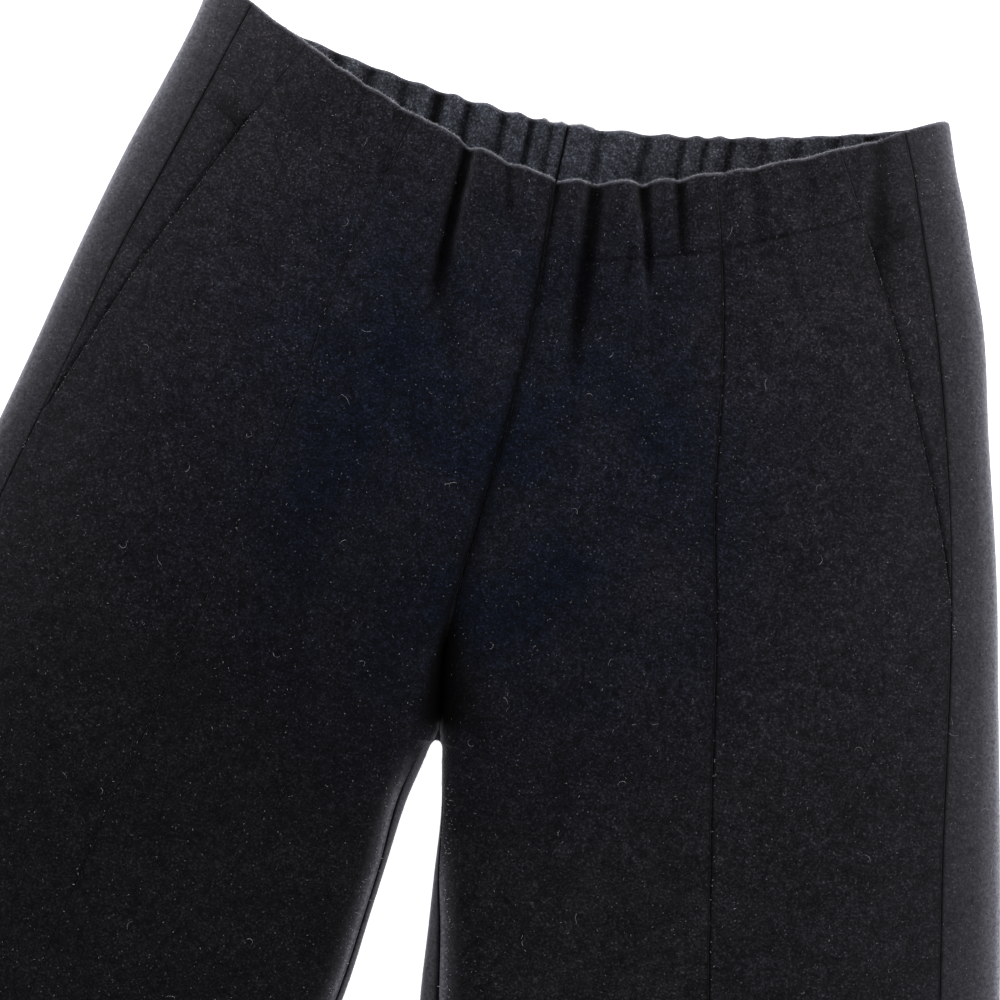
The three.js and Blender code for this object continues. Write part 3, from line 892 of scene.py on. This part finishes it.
# %% The wool itself
def make_wool(name, navy, charcoal):
    material, wool, shader = new_material(name)
    colour = wool.blend(bluish(wool), charcoal, navy)
    # painted shade on the thighs
    for place, reach, light in PAINTED_SHADE_SPOTS:
        colour = wool.times(colour, wool.ramp(wool.spot(place, reach), (0.0, 1), (0.7, light)))
    for scale, least, most in CLOUDS:
        colour = wool.times(colour, wool.ramp(wool.noise(scale, 4, 0.6), (0.32, least), (0.68, most)))
    colour = wool.times(colour, wool.ramp(wool.noise(850, 3, 0.65), *HAIRS_IN_MAT))
    colour = wool.blend(pale_dots(wool, 520, 0.12, 0.2), colour, DOT)
    # the seam mark darkens the seams; the crease mark paints shade into folds and hollows
    for mark, stops in (("seam", IN_SEAM), ("crease", IN_CREASE)):
        colour = wool.times(colour, wool.ramp(wool.attribute(mark), *stops))
    highlight_patches = wool.ramp(wool.noise(620, 3, 0.7), (0.35, 0.1), (0.62, 1))
    # painted sheen: the colour turns paler where the pale mark is high, broken into specks
    painted_sheen_specks = wool.ramp(highlight_patches, (0.0, 0.55), (1.0, 1.5))
    painted_sheen = wool.times(wool.ramp(wool.attribute("pale"), *PAINTED_SHEEN_RAMP), painted_sheen_specks)
    colour = wool.blend(painted_sheen, colour, PAINTED_SHEEN_COLOUR)
    uneven = wool.ramp(wool.noise(95, 3, 0.6), (0.36, 0.35), (0.6, 1))
    # painted highlight on the crest of the waist edge, in patches
    crest_highlight = wool.times(wool.ramp(wool.attribute("crest_highlight"), (0.2, 0), (1.0, 1)), highlight_patches)
    colour = wool.blend(wool.times(crest_highlight, uneven), colour, CREST_HIGHLIGHT_COLOUR)
    bloom = wool.ramp(wool.attribute("crease"), *BLOOM)
    soft = wool.add("Bump", {"Strength": 0.3, "Distance": 0.002, "Height": wool.noise(120, 3, 0.55)})
    fine = wool.add("Bump", {"Strength": 0.6, "Distance": 0.0006, "Height": wool.noise(900, 4, 0.65)})
    wool.fill(fine, {"Normal": soft.outputs["Normal"]})
    wool.fill(shader, {"Base Color": colour, "Roughness": 0.93, "Specular IOR Level": 0.1})
    wool.fill(shader, {"Sheen Weight": bloom, "Sheen Roughness": 0.3, "Sheen Tint": (0.94, 0.91, 1.0, 1)})
    wool.fill(shader, {"Normal": fine.outputs["Normal"]})
    return material


WOOL = make_wool("felted_wool", NAVY, CHARCOAL)
# the inside of the casing gets the paler, painted-light copy of the wool
WOOL_INSIDE_PAINTED_LIGHTER = make_wool("wool_inside", INSIDE_NAVY, INSIDE_CHARCOAL)
print("materials:", WOOL.name, WOOL_INSIDE_PAINTED_LIGHTER.name)

# %% [markdown]
# ## The front panels
#
# Each front is cut in two: a centre panel from the middle seam to the seam down the leg, and a side
# panel out to the pocket edge and the side seam. Both come from the front surface, between two of the
# chalk lines, so that they meet exactly.

# %% Front centre panels
ROWS = wall_rows()
LEG_SEAM = {"right": 0.25, "left": 0.75}  # the seam down the right leg is pressed flatter
LEG_TUCK = {"rise": 0.55, "at": 2.4, "width": 1.7, "from": -30.0, "over": 30.0}
INSEAM_GLOW = 0.93
INSEAM_GLOWS = {
    "right": {"from": -281.0, "over": 30.0, "at": 2.4, "width": 4.6},
    "left": {"from": -308.0, "over": 34.0, "at": 1.5, "width": 5.5},
}
CROTCH_GLOW = {"most": 0.97, "from": -272.0, "over": 4.0, "to": -285.5, "to_over": 2.0, "width": 5.0}


def row_widths(half, inner_line, outer_line, rows):
    return meet(half, rows[:, 0], outer_line) - meet(half, rows[:, 0], inner_line)


def leg_tuck(from_last, level):
    beside_seam = near(from_last - LEG_TUCK["at"], LEG_TUCK["width"])
    return LEG_TUCK["rise"] * beside_seam * below(level, LEG_TUCK["from"], LEG_TUCK["over"])


def front_glow(half):
    """Painted sheen: pale colour beside the inseam, and on the short thick seam end at the crotch."""
    glow = INSEAM_GLOWS[half.name]
    end = CROTCH_GLOW

    def at(u, level, from_first):
        thigh = INSEAM_GLOW * below(level, glow["from"], glow["over"])
        thigh = thigh * near(from_first - glow["at"], glow["width"])
        crotch = end["most"] * below(level, end["from"], end["over"])
        crotch = crotch * above(level, end["to"], end["to_over"]) * near(from_first, end["width"], 4)
        return np.maximum(thigh, crotch)

    return at


FRONT_CENTRES = []
for half in HALVES:
    inner_line = half.front
    outer_line = beside(half.leg, -SEAM / 2)
    surface = front_surface(half, inner_line, outer_line)
    us = across(row_widths(half, inner_line, outer_line, ROWS), 44)
    name = f"front_centre_{half.name}_cloth"
    seams = ((0.5, 0.4), (LEG_SEAM[half.name], 0.35))
    pale = front_glow(half)
    piece = make_panel(name, half, surface, us, ROWS, seams, at_fork=0, lift=leg_tuck, pale=pale)
    FRONT_CENTRES.append(piece)
    print(piece.name, len(piece.data.polygons), "faces")

# %% Front side panels, with a pocket edge that stands a little proud
EDGE_LIFT = {"rise": 0.5, "width": 7.0, "to": -235.0, "to_over": 40.0}


def pocket_or_side(half):
    side = side_line(half)
    return lambda y: np.where(y > POCKET["end_y"], np.minimum(half.pocket(y), side(y)), side(y))


def pocket_edge(from_last, level):
    mouth = below(level, -CASING - 2, 10) * above(level, EDGE_LIFT["to"], EDGE_LIFT["to_over"])
    return EDGE_LIFT["rise"] * mouth * near(from_last, EDGE_LIFT["width"])


FRONT_SIDES = []
for half in HALVES:
    inner_line = beside(half.leg, SEAM / 2)
    outer_line = pocket_or_side(half)
    surface = front_surface(half, inner_line, outer_line)
    us = across(row_widths(half, inner_line, outer_line, ROWS), 40)
    name = f"front_side_{half.name}_cloth"
    seams = ((LEG_SEAM[half.name], 0.35), (0.65, 0.3))
    piece = make_panel(name, half, surface, us, ROWS, seams, lift=pocket_edge)
    FRONT_SIDES.append(piece)
    print(piece.name, len(piece.data.polygons), "faces")

# %% [markdown]
# ## The hip piece in the pocket
#
# Between the slanting pocket edge and the side seam a small piece shows: it is the back wall of the
# pocket, sewn into the casing above and the side seam beyond. Below the casing it dives under the
# front, which leaves the dark slot of the pocket mouth.

# %% Hip pieces
FACING_SINKS = 15.0  # below the casing it dives under the front over this much
FACING_RISES_BEFORE = 0.4  # it comes up again from this far inside the pocket edge
FACING_RISES_OVER = (0.8, 3.2)  # over at least and at most this much
FACING_FLAT = 0.5  # and lies level again this far from the side seam
FACING_END = -203.0
POCKET_SHADOW = {"most": 0.6, "level": -58.0, "height": 16.0, "width": 4.5, "over": 12.0}


def pocket_shadow(level, from_first):
    row = POCKET_SHADOW
    at_top = near(level - row["level"], row["height"]) * below(level, -CASING, row["over"])
    return row["most"] * at_top * np.exp(-np.maximum(from_first - POCKET_UNDER, 0) / row["width"])


def facing_sunk(half):
    def at(out, y, level):
        over = np.clip(half.side(y) - half.pocket(y) - FACING_FLAT, *FACING_RISES_OVER)
        risen = above(out, half.pocket(y) - FACING_RISES_BEFORE, over)
        return (WALL + POCKET_GAP) * below(level, -CASING - 3, FACING_SINKS) * (1 - risen)

    return at


def facing_surface(half):
    """It starts at the pocket edge in the casing, and further in, under the front, below it."""
    starts = [beside(half.pocket, SEAM), beside(half.pocket, -POCKET_UNDER)]
    surfaces = [front_surface(half, start, side_line(half), facing_sunk(half)) for start in starts]

    def at(u, level):
        high, low = [surface(u, level) for surface in surfaces]
        upper = level > -CASING - 2 - FACING_SINKS
        points = np.where(upper[..., None], high[0], low[0])
        return points, np.where(upper, high[1], low[1]), np.where(upper, high[2], low[2])

    return at


FACINGS = []
for half in HALVES:
    rows = np.array([row for row in ROWS if row[0] > FACING_END])
    width = row_widths(half, beside(half.pocket, -POCKET_UNDER), side_line(half), rows)
    us = across(np.maximum(width, 12), 16)
    name = f"pocket_facing_{half.name}_cloth"
    seams = ((0, 0.3), (1, 0.8))
    fade = smooth((width - POCKET_UNDER) / 14)[:, None]
    surface = facing_surface(half)
    piece = make_panel(name, half, surface, us, rows, seams, fade=fade, shade=pocket_shadow)
    FACINGS.append(piece)
    print(piece.name, len(piece.data.polygons), "faces")

# %% [markdown]
# ## The back panels
#
# The back is one panel for each leg. A strip of it shows beyond the side seam, because the side seam
# has come forward over the edge. The rest lies on the floor. The inner leg strip starts only at the
# crotch, so the faces above it are left out of the grid.

# %% Back panels
STRIP_WIDTH = 38.0  # across the back, from the side seam round to the outer edge


def back_columns():
    close = EDGE_STEPS / STRIP_WIDTH
    return np.concatenate(
        [
            close,
            np.linspace(close[-1], 1, 11)[1:],
            np.linspace(1, 2, 9)[1:],
            np.linspace(2, 3, 84)[1:],
            np.linspace(3, 4, 10)[1:],
            np.linspace(4, 4.8, 7)[1:],
            [4.88, 4.94, 4.975, 5.0],
        ]
    )


def side_glow(u, level, from_first):
    """Painted sheen: pale colour where the back panel turns over the outer and the inner edge."""
    outer = mix(0.3, 1, above(u, 0, 0.9)) * below(u, 2.2, 0.6)
    inner = mix(0.72, 1, below(u, 4.5, 0.5)) * below(u, 4.96, 0.2) * above(u, 2.9, 0.6)
    return np.maximum(outer, inner * below(level, FORK + 13, 8))


BACKS = []
BACK_US = back_columns()
AT_INNER_EDGE = int(np.searchsorted(BACK_US, 4 - 1e-9))
for half in HALVES:
    us = np.tile(BACK_US, (len(ROWS), 1))
    on_leg = ROWS[:, 0] <= FORK
    last = np.where(on_leg, len(BACK_US) - 1, AT_INNER_EDGE)
    keep = np.ones((len(ROWS) - 1, len(BACK_US) - 1), bool)
    keep[:, AT_INNER_EDGE:] = on_leg[:-1, None]
    name = f"back_{half.name}_cloth"
    seams = ((1, 0.8), (0.45, 0.8))
    surface = back_surface(half)
    piece = make_panel(name, half, surface, us, ROWS, seams, keep, last, at_fork=1, pale=side_glow)
    BACKS.append(piece)
    print(piece.name, len(piece.data.polygons), "faces")

# %% [markdown]
# ## The turned-in casing
#
# At the waist the cloth turns over and runs down inside, with the elastic between the two layers. The
# outer half of the turn belongs to the panels and the inner half to these pieces, and they meet on the
# crest.

# %% Casing rows and pieces
CASING_DEPTH = 2 * ROLL
HELD = {"by": 1.5, "from": -31.5, "over": 4.0}  # the stitches hold it to the outer cloth
CUT_EDGE = {"thinner": 0.9, "from": -37.2, "over": 1.2}
CASING_STITCH = {"most": 0.7, "level": -36.5, "width": 0.8}


def casing_rows():
    rows = []
    thin = ROLL - WALL
    for angle in ANGLES[::-1]:
        rows.append(
            [
                -ROLL + thin * np.sin(angle),
                ROLL + thin * np.cos(angle),
                -ROLL + ROLL * np.sin(angle),
                ROLL + ROLL * np.cos(angle),
            ]
        )
    for level in stepped(-ROLL - 1.6, -CASING + 1.6, 1.6):
        held = HELD["by"] * below(level, HELD["from"], HELD["over"])
        ended = CUT_EDGE["thinner"] * below(level, CUT_EDGE["from"], CUT_EDGE["over"])
        rows.append([level, CASING_DEPTH - WALL - held, level, CASING_DEPTH - held - ended])
    return np.array(rows)


GATHER_HEIGHT = 1.7  # of a gather whose top is out of the shadow
FOLDS_START_OVER = 12.0
# the painted highlight on the crest reaches this far down inside the casing
INSIDE_CREST_HIGHLIGHT_REACH = 1.3


# painted shade between the gathers of the back casing
def back_crease(relief):
    return (1 - smooth(relief / GATHER_HEIGHT)) ** 2


def make_casing(name, half, surface, columns, inside_share, crease):
    rows = casing_rows()
    us = columns(rows)
    hidden_level, hidden_depth, seen_level, seen_depth = [rows[:, i][:, None] + 0 * us for i in range(4)]
    relief = surface(us, seen_level)[1]
    share = np.where(relief < 0, 1.0, mix(1.0, inside_share, below(seen_level, 0, FOLDS_START_OVER)))
    hidden = cloth_points(surface, half, us, hidden_level, hidden_depth, share)
    seen = cloth_points(surface, half, us, seen_level, seen_depth, share)
    marks = {
        "seam": CASING_STITCH["most"] * near(seen_level - CASING_STITCH["level"], CASING_STITCH["width"]),
        "crest_highlight": np.exp(seen_level / INSIDE_CREST_HIGHLIGHT_REACH),
        "crease": crease(relief),
    }
    return shell(name, half, hidden, seen, marks)


def whole_front(half):
    return front_surface(half, half.front, side_line(half))


def front_casing_columns(half):
    return lambda rows: across(row_widths(half, half.front, side_line(half), rows), 90)


def back_casing_columns(rows):
    return np.tile(BACK_US[BACK_US <= 4], (len(rows), 1))


CASINGS = []
for half in HALVES:
    name = f"waist_casing_front_{half.name}_cloth"
    columns = front_casing_columns(half)
    CASINGS.append(make_casing(name, half, whole_front(half), columns, 0.5, fold_crease))
    name = f"waist_casing_back_{half.name}_cloth"
    CASINGS.append(make_casing(name, half, back_surface(half), back_casing_columns, 1.0, back_crease))
for piece in CASINGS:
    print(piece.name, len(piece.data.polygons), "faces")

# %% [markdown]
# ## Loose fibres
#
# Felted wool is never quite smooth. Short fibres stand up from it, and against the light they blur its
# edges. Here and there a pale hair or a speck of lint lies on top. A hair system would make thousands of
# curves, but plain three-sided tubes built from arrays are lighter and end up as ordinary mesh. Every
# fibre starts on the cloth, leaves along it, rises a little and bends as it goes.

# %% Tubes for many fibres at once
rng = np.random.default_rng(11)
CORNERS = np.radians([90, 210, 330])


def unit(vectors):
    return vectors / np.maximum(np.linalg.norm(vectors, axis=-1, keepdims=True), 1e-9)


def make_fibres(name, roots, normals, length, rise, bend, radius, steps, tone):
    """length, rise and bend are each (least, most): mm along the cloth, mm off it and radians."""
    count = len(roots)
    lengths, rises, bends = [rng.uniform(*span, count)[:, None] for span in (length, rise, bend)]
    bends = bends * rng.choice([-1, 1], count)[:, None]
    start = unit(np.cross(normals, rng.normal(size=(count, 3))))
    aside = np.cross(normals, start)
    t = np.linspace(0, 1, steps + 1)[None, :]
    turned = (bends * t)[..., None]
    ahead = start[:, None] * np.cos(turned) + aside[:, None] * np.sin(turned)
    path = np.cumsum(ahead, axis=1) - ahead[:, :1]
    path = path * (lengths / steps)[..., None]
    path = path + normals[:, None] * (rises * np.sin(0.5 * np.pi * t))[..., None] + roots[:, None]
    across_path = np.cross(ahead, normals[:, None])
    thick = radius * (1 - 0.7 * t)[..., None, None]
    up = np.sin(CORNERS)[:, None] * normals[:, None, None]
    ring = up + np.cos(CORNERS)[:, None] * across_path[:, :, None]
    points = (path[:, :, None] + thick * ring).reshape(-1, 3)
    index = np.arange(len(points)).reshape(count, steps + 1, 3)
    nearby = np.roll(index, -1, axis=2)
    quads = np.stack([index[:, :-1], nearby[:, :-1], nearby[:, 1:], index[:, 1:]], -1).reshape(-1, 4)
    ends = np.concatenate([index[:, 0, ::-1], index[:, -1]])
    mesh = bpy.data.meshes.new(name)
    mesh.from_pydata(((points + [0, SHIFT, 0]) / 1000).tolist(), [], quads.tolist() + ends.tolist())
    layer = mesh.attributes.new("tone", "FLOAT", "POINT")
    tones = np.repeat(rng.uniform(*tone, count), 3 * (steps + 1))
    layer.data.foreach_set("value", tones.astype(np.float32))
    piece = bpy.data.objects.new(name, mesh)
    bpy.context.scene.collection.objects.link(piece)
    print(name, count, "fibres,", len(quads) * 2 + len(ends), "triangles")
    return piece


# %% Places for fibres to start
ROOT_DEPTH = 0.05  # a fibre starts this far below the surface of the cloth


def on_surface(surface, half, u, level):
    points = cloth_points(surface, half, u, level, np.full(len(u), ROOT_DEPTH))
    return points, outward(surface, half, u, level)


def round_rim(surface, half, u, angle, at, radius, towards):
    """Places on the turned edge at the waist or the hem; an angle of 90 degrees is its very end."""
    level = at - towards * radius * (1 - np.sin(angle))
    points = cloth_points(surface, half, u, level, radius * (1 - np.cos(angle)) + ROOT_DEPTH)
    normal = outward(surface, half, u, level) * np.cos(angle)[:, None]
    normal[:, 1] += towards * np.sin(angle)
    return points, unit(normal)


def scattered(count, low, high):
    return rng.uniform(low, high, count)


def gather(places):
    return [np.concatenate(parts) for parts in zip(*places)]


OUTER_FIBRES = 2400  # for each long edge of a leg
INNER_FIBRES = 1500
HEM_FIBRES = 160
CREST_FIBRES = {"front": 760, "back": 560}  # for each half of the waist
CROTCH_FIBRES = 110


def edge_places():
    places = []
    for half in HALVES:
        back = back_surface(half)
        outer, inner = scattered(OUTER_FIBRES, 0.5, 1.6), scattered(INNER_FIBRES, 3.2, 4.4)
        places.append(on_surface(back, half, outer, scattered(OUTER_FIBRES, HEM, -ROLL)))
        places.append(on_surface(back, half, inner, scattered(INNER_FIBRES, HEM, FORK - 2)))
        for surface, low, high in ((whole_front(half), 0, 1), (back, 0, 2), (back, 2, 4)):
            u, angle = scattered(HEM_FIBRES, low, high), scattered(HEM_FIBRES, 0.4, 2.4)
            places.append(round_rim(surface, half, u, angle, HEM, HEM_ROUND, -1))
    return gather(places)


def crest_places():
    places = []
    for half in HALVES:
        front, back = whole_front(half), back_surface(half)
        for surface, count, low, high in (
            (front, CREST_FIBRES["front"], 0, 1),
            (back, CREST_FIBRES["back"] // 4, 0, 2),
            (back, CREST_FIBRES["back"], 2, 4),
        ):
            u, angle = scattered(count, low, high), scattered(count, 0.7, 2.4)
            places.append(round_rim(surface, half, u, angle, 0.0, ROLL, 1))
        u, level = scattered(CROTCH_FIBRES, 3.2, 3.98), scattered(CROTCH_FIBRES, FORK, FORK + 7)
        places.append(on_surface(back, half, u, level))
    return gather(places)


# %% Fuzz at the edges, at the waist and in the crotch
FUZZ = make_fibres(
    "edge_fuzz", *edge_places(), (0.5, 1.9), (0.35, 1.3), (0.3, 2.6), 0.06, 3, (0.3, 1.0)
)
CREST = make_fibres(
    "crest_fuzz", *crest_places(), (0.3, 1.4), (0.25, 1.0), (0.2, 2.6), 0.085, 3, (0.25, 1.0)
)

# %% Nap, flecks and stray hairs on top
STRIP_SHARE = 0.18  # of the fibres that lie on the back's strip beyond the side seam


def top_places(count, low=HEM + 4):
    places = []
    for half in HALVES:
        front, strip = round((1 - STRIP_SHARE) * count / 2), round(STRIP_SHARE * count / 2)
        u, level = scattered(front, 0.01, 0.99), scattered(front, low, -3)
        places.append(on_surface(whole_front(half), half, u, level))
        u, level = scattered(strip, 0, 0.9), scattered(strip, low, -3)
        places.append(on_surface(back_surface(half), half, u, level))
    return gather(places)


NAP = make_fibres(
    "nap_fibres", *top_places(9000), (0.5, 1.5), (0.08, 0.3), (0.2, 2.2), 0.045, 2, (0.15, 0.6)
)
FLECKS = make_fibres(
    "pale_flecks", *top_places(5600), (0.25, 1.1), (0.1, 0.3), (0.2, 2.5), 0.14, 2, (0.1, 1.0)
)
HAIRS = make_fibres(
    "stray_hairs", *top_places(210), (1.8, 7.0), (0.2, 0.8), (0.6, 4.4), 0.075, 9, (0.6, 1.0)
)

# %% [markdown]
# ## Lint along the pocket edges
#
# The turned edge of a pocket is rubbed by hands, so pale specks catch along it. More of them catch
# along the seams down the leg and beside the inseams, where the legs rub.

# %% Specks along the lines
def line_places(count, low, high, line, spread):
    places = []
    for half in HALVES:
        level = scattered(count, low, high)
        out = meet(half, level, line(half)) + rng.normal(0, spread, count)
        inner, outer = meet(half, level, half.front), meet(half, level, side_line(half))
        places.append(on_surface(whole_front(half), half, (out - inner) / (outer - inner), level))
    return gather(places)


on_pockets = line_places(120, -190, -44, lambda half: beside(half.pocket, -0.7), 0.4)
on_seams = line_places(40, -420, -60, lambda half: beside(half.leg, 0.9), 0.5)
on_inseams = line_places(900, HEM + 4, -300, lambda half: beside(half.front, 3.4), 1.6)
lint_places = gather([on_pockets, on_seams, on_inseams])
LINT = make_fibres("seam_lint", *lint_places, (0.2, 0.9), (0.4, 1.0), (0, 1.4), 0.18, 2, (0.25, 1.0))

# %% Material of the fibres
def make_fibre_material(name, dark, pale):
    material, fibre, shader = new_material(name)
    colour = fibre.blend(fibre.attribute("tone"), dark, pale)
    mottled = fibre.ramp(fibre.noise(300), (0.3, 0.7), (0.7, 1.2))
    colour = fibre.times(colour, mottled)
    fibre.fill(shader, {"Base Color": colour, "Roughness": 0.8, "Sheen Weight": 0.3})
    return material


DARK_FIBRE = make_fibre_material("dark_fibre", (0.03, 0.032, 0.042), (0.3, 0.31, 0.36))
PALE_FIBRE = make_fibre_material("pale_fibre", (0.06, 0.062, 0.072), (0.62, 0.63, 0.67))
FIBRES = {FUZZ: DARK_FIBRE, NAP: DARK_FIBRE}
for piece in (CREST, FLECKS, HAIRS, LINT):
    FIBRES[piece] = PALE_FIBRE
for piece, material in FIBRES.items():
    piece.data.materials.append(material)
    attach(piece, "root")
every_piece = [*FRONT_CENTRES, *FRONT_SIDES, *FACINGS, *BACKS, *CASINGS, *FIBRES]
triangles = sum(len(face.vertices) - 2 for piece in every_piece for face in piece.data.polygons)
print("triangles in all:", triangles)

# %% [markdown]
# ## Floor, light and camera
#
# The trousers lie on a pale, softly glowing floor, as on a light table, so that the dark wool stands
# out and its fibres catch light from below at the edges. Large soft lamps stand low at the sides. The
# camera looks straight down on the waist and hips, turned a little.

# %% Floor
FLOOR_REACH = 12.0
FLOOR_AT = -0.0006  # just clear of the cloth


def make_floor():
    mesh = bpy.data.meshes.new("floor")
    r, z = FLOOR_REACH, FLOOR_AT
    corners = [(-r, -r, z), (r, -r, z), (r, r, z), (-r, r, z)]
    mesh.from_pydata(corners, [], [(0, 1, 2, 3)])
    floor = bpy.data.objects.new("floor", mesh)
    bpy.context.scene.collection.objects.link(floor)
    material, paint, shader = new_material("pale_floor")
    tone = paint.ramp(paint.noise(3), (0.0, 0.86), (1.0, 0.9))
    paint.fill(shader, {"Base Color": tone, "Roughness": 0.9})
    paint.fill(shader, {"Emission Color": (1, 1, 1, 1), "Emission Strength": 1.0})
    floor.data.materials.append(material)
    return floor


FLOOR = make_floor()

# %% Lights
def make_lamp(name, place, size, power, target=(0.0, 0.25, 0.0)):
    data = bpy.data.lights.new(name, "AREA")
    data.shape = "RECTANGLE"
    data.size, data.size_y = size
    data.energy = power
    lamp = bpy.data.objects.new(name, data)
    lamp.location = place
    lamp.rotation_euler = (Vector(target) - Vector(place)).to_track_quat("-Z", "Y").to_euler()
    lamp.visible_camera = False
    bpy.context.scene.collection.objects.link(lamp)
    return lamp


make_lamp("beyond_the_waist", (-0.35, 1.0, 0.5), (1.1, 0.5), 4.8)
make_lamp("right_of_the_view", (0.98, 0.3, 0.5), (0.9, 0.5), 3.8)

# %% A tent of light: bright low down all round, dark overhead
TENT = [(0.0, 1.0), (0.22, 0.85), (0.42, 0.3), (0.7, 0.1), (1.0, 0.075)]  # (height of the ray, light)
TENT_STRENGTH = 1.2


def make_tent():
    world = bpy.data.worlds.new("tent")
    bpy.context.scene.world = world
    world.use_nodes = True
    tent = Recipe(world.node_tree)
    parts = tent.add("SeparateXYZ", {"Vector": tent.places["Generated"]})
    light = tent.ramp(parts.outputs["Z"], *TENT)
    tent.fill(world.node_tree.nodes["Background"], {"Color": light, "Strength": TENT_STRENGTH})


make_tent()
bpy.context.scene.view_settings.view_transform = "Standard"

# %% Camera
VIEW_WIDTH = 0.49  # metres of the trousers that the view covers
CAMERA_DISTANCE = 1.5
CAMERA_AT = (0.0055, 0.2956, 0.022)
CAMERA_TURN = 12.0
SENSOR = 36
camera_data = bpy.data.cameras.new("camera")
camera_data.sensor_width = SENSOR
camera_data.lens = SENSOR * CAMERA_DISTANCE / VIEW_WIDTH
camera = bpy.data.objects.new("camera", camera_data)
camera.location = (CAMERA_AT[0], CAMERA_AT[1], CAMERA_AT[2] + CAMERA_DISTANCE)
camera.rotation_euler = (0, 0, math.radians(CAMERA_TURN))
bpy.context.scene.collection.objects.link(camera)
bpy.context.scene.camera = camera
print("lens", round(camera_data.lens), "mm")

# %% [markdown]
# ## Handing the pieces to the frame
#
# Every cloth piece stands for a CAD node and rides on the one body of the garment.


def declare(piece, material):
    piece.data.materials.append(material)
    node = piece.name.replace("_cloth", "")
    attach(piece, "root")
    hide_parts(node)


for half, centre, side, facing, back in zip(HALVES, FRONT_CENTRES, FRONT_SIDES, FACINGS, BACKS):
    declare(centre, WOOL)
    declare(side, WOOL)
    declare(facing, WOOL)
    declare(back, WOOL)
for front_piece, back_piece, back in zip(CASINGS[::2], CASINGS[1::2], BACKS):
    declare(front_piece, WOOL_INSIDE_PAINTED_LIGHTER)
    declare(back_piece, WOOL_INSIDE_PAINTED_LIGHTER)
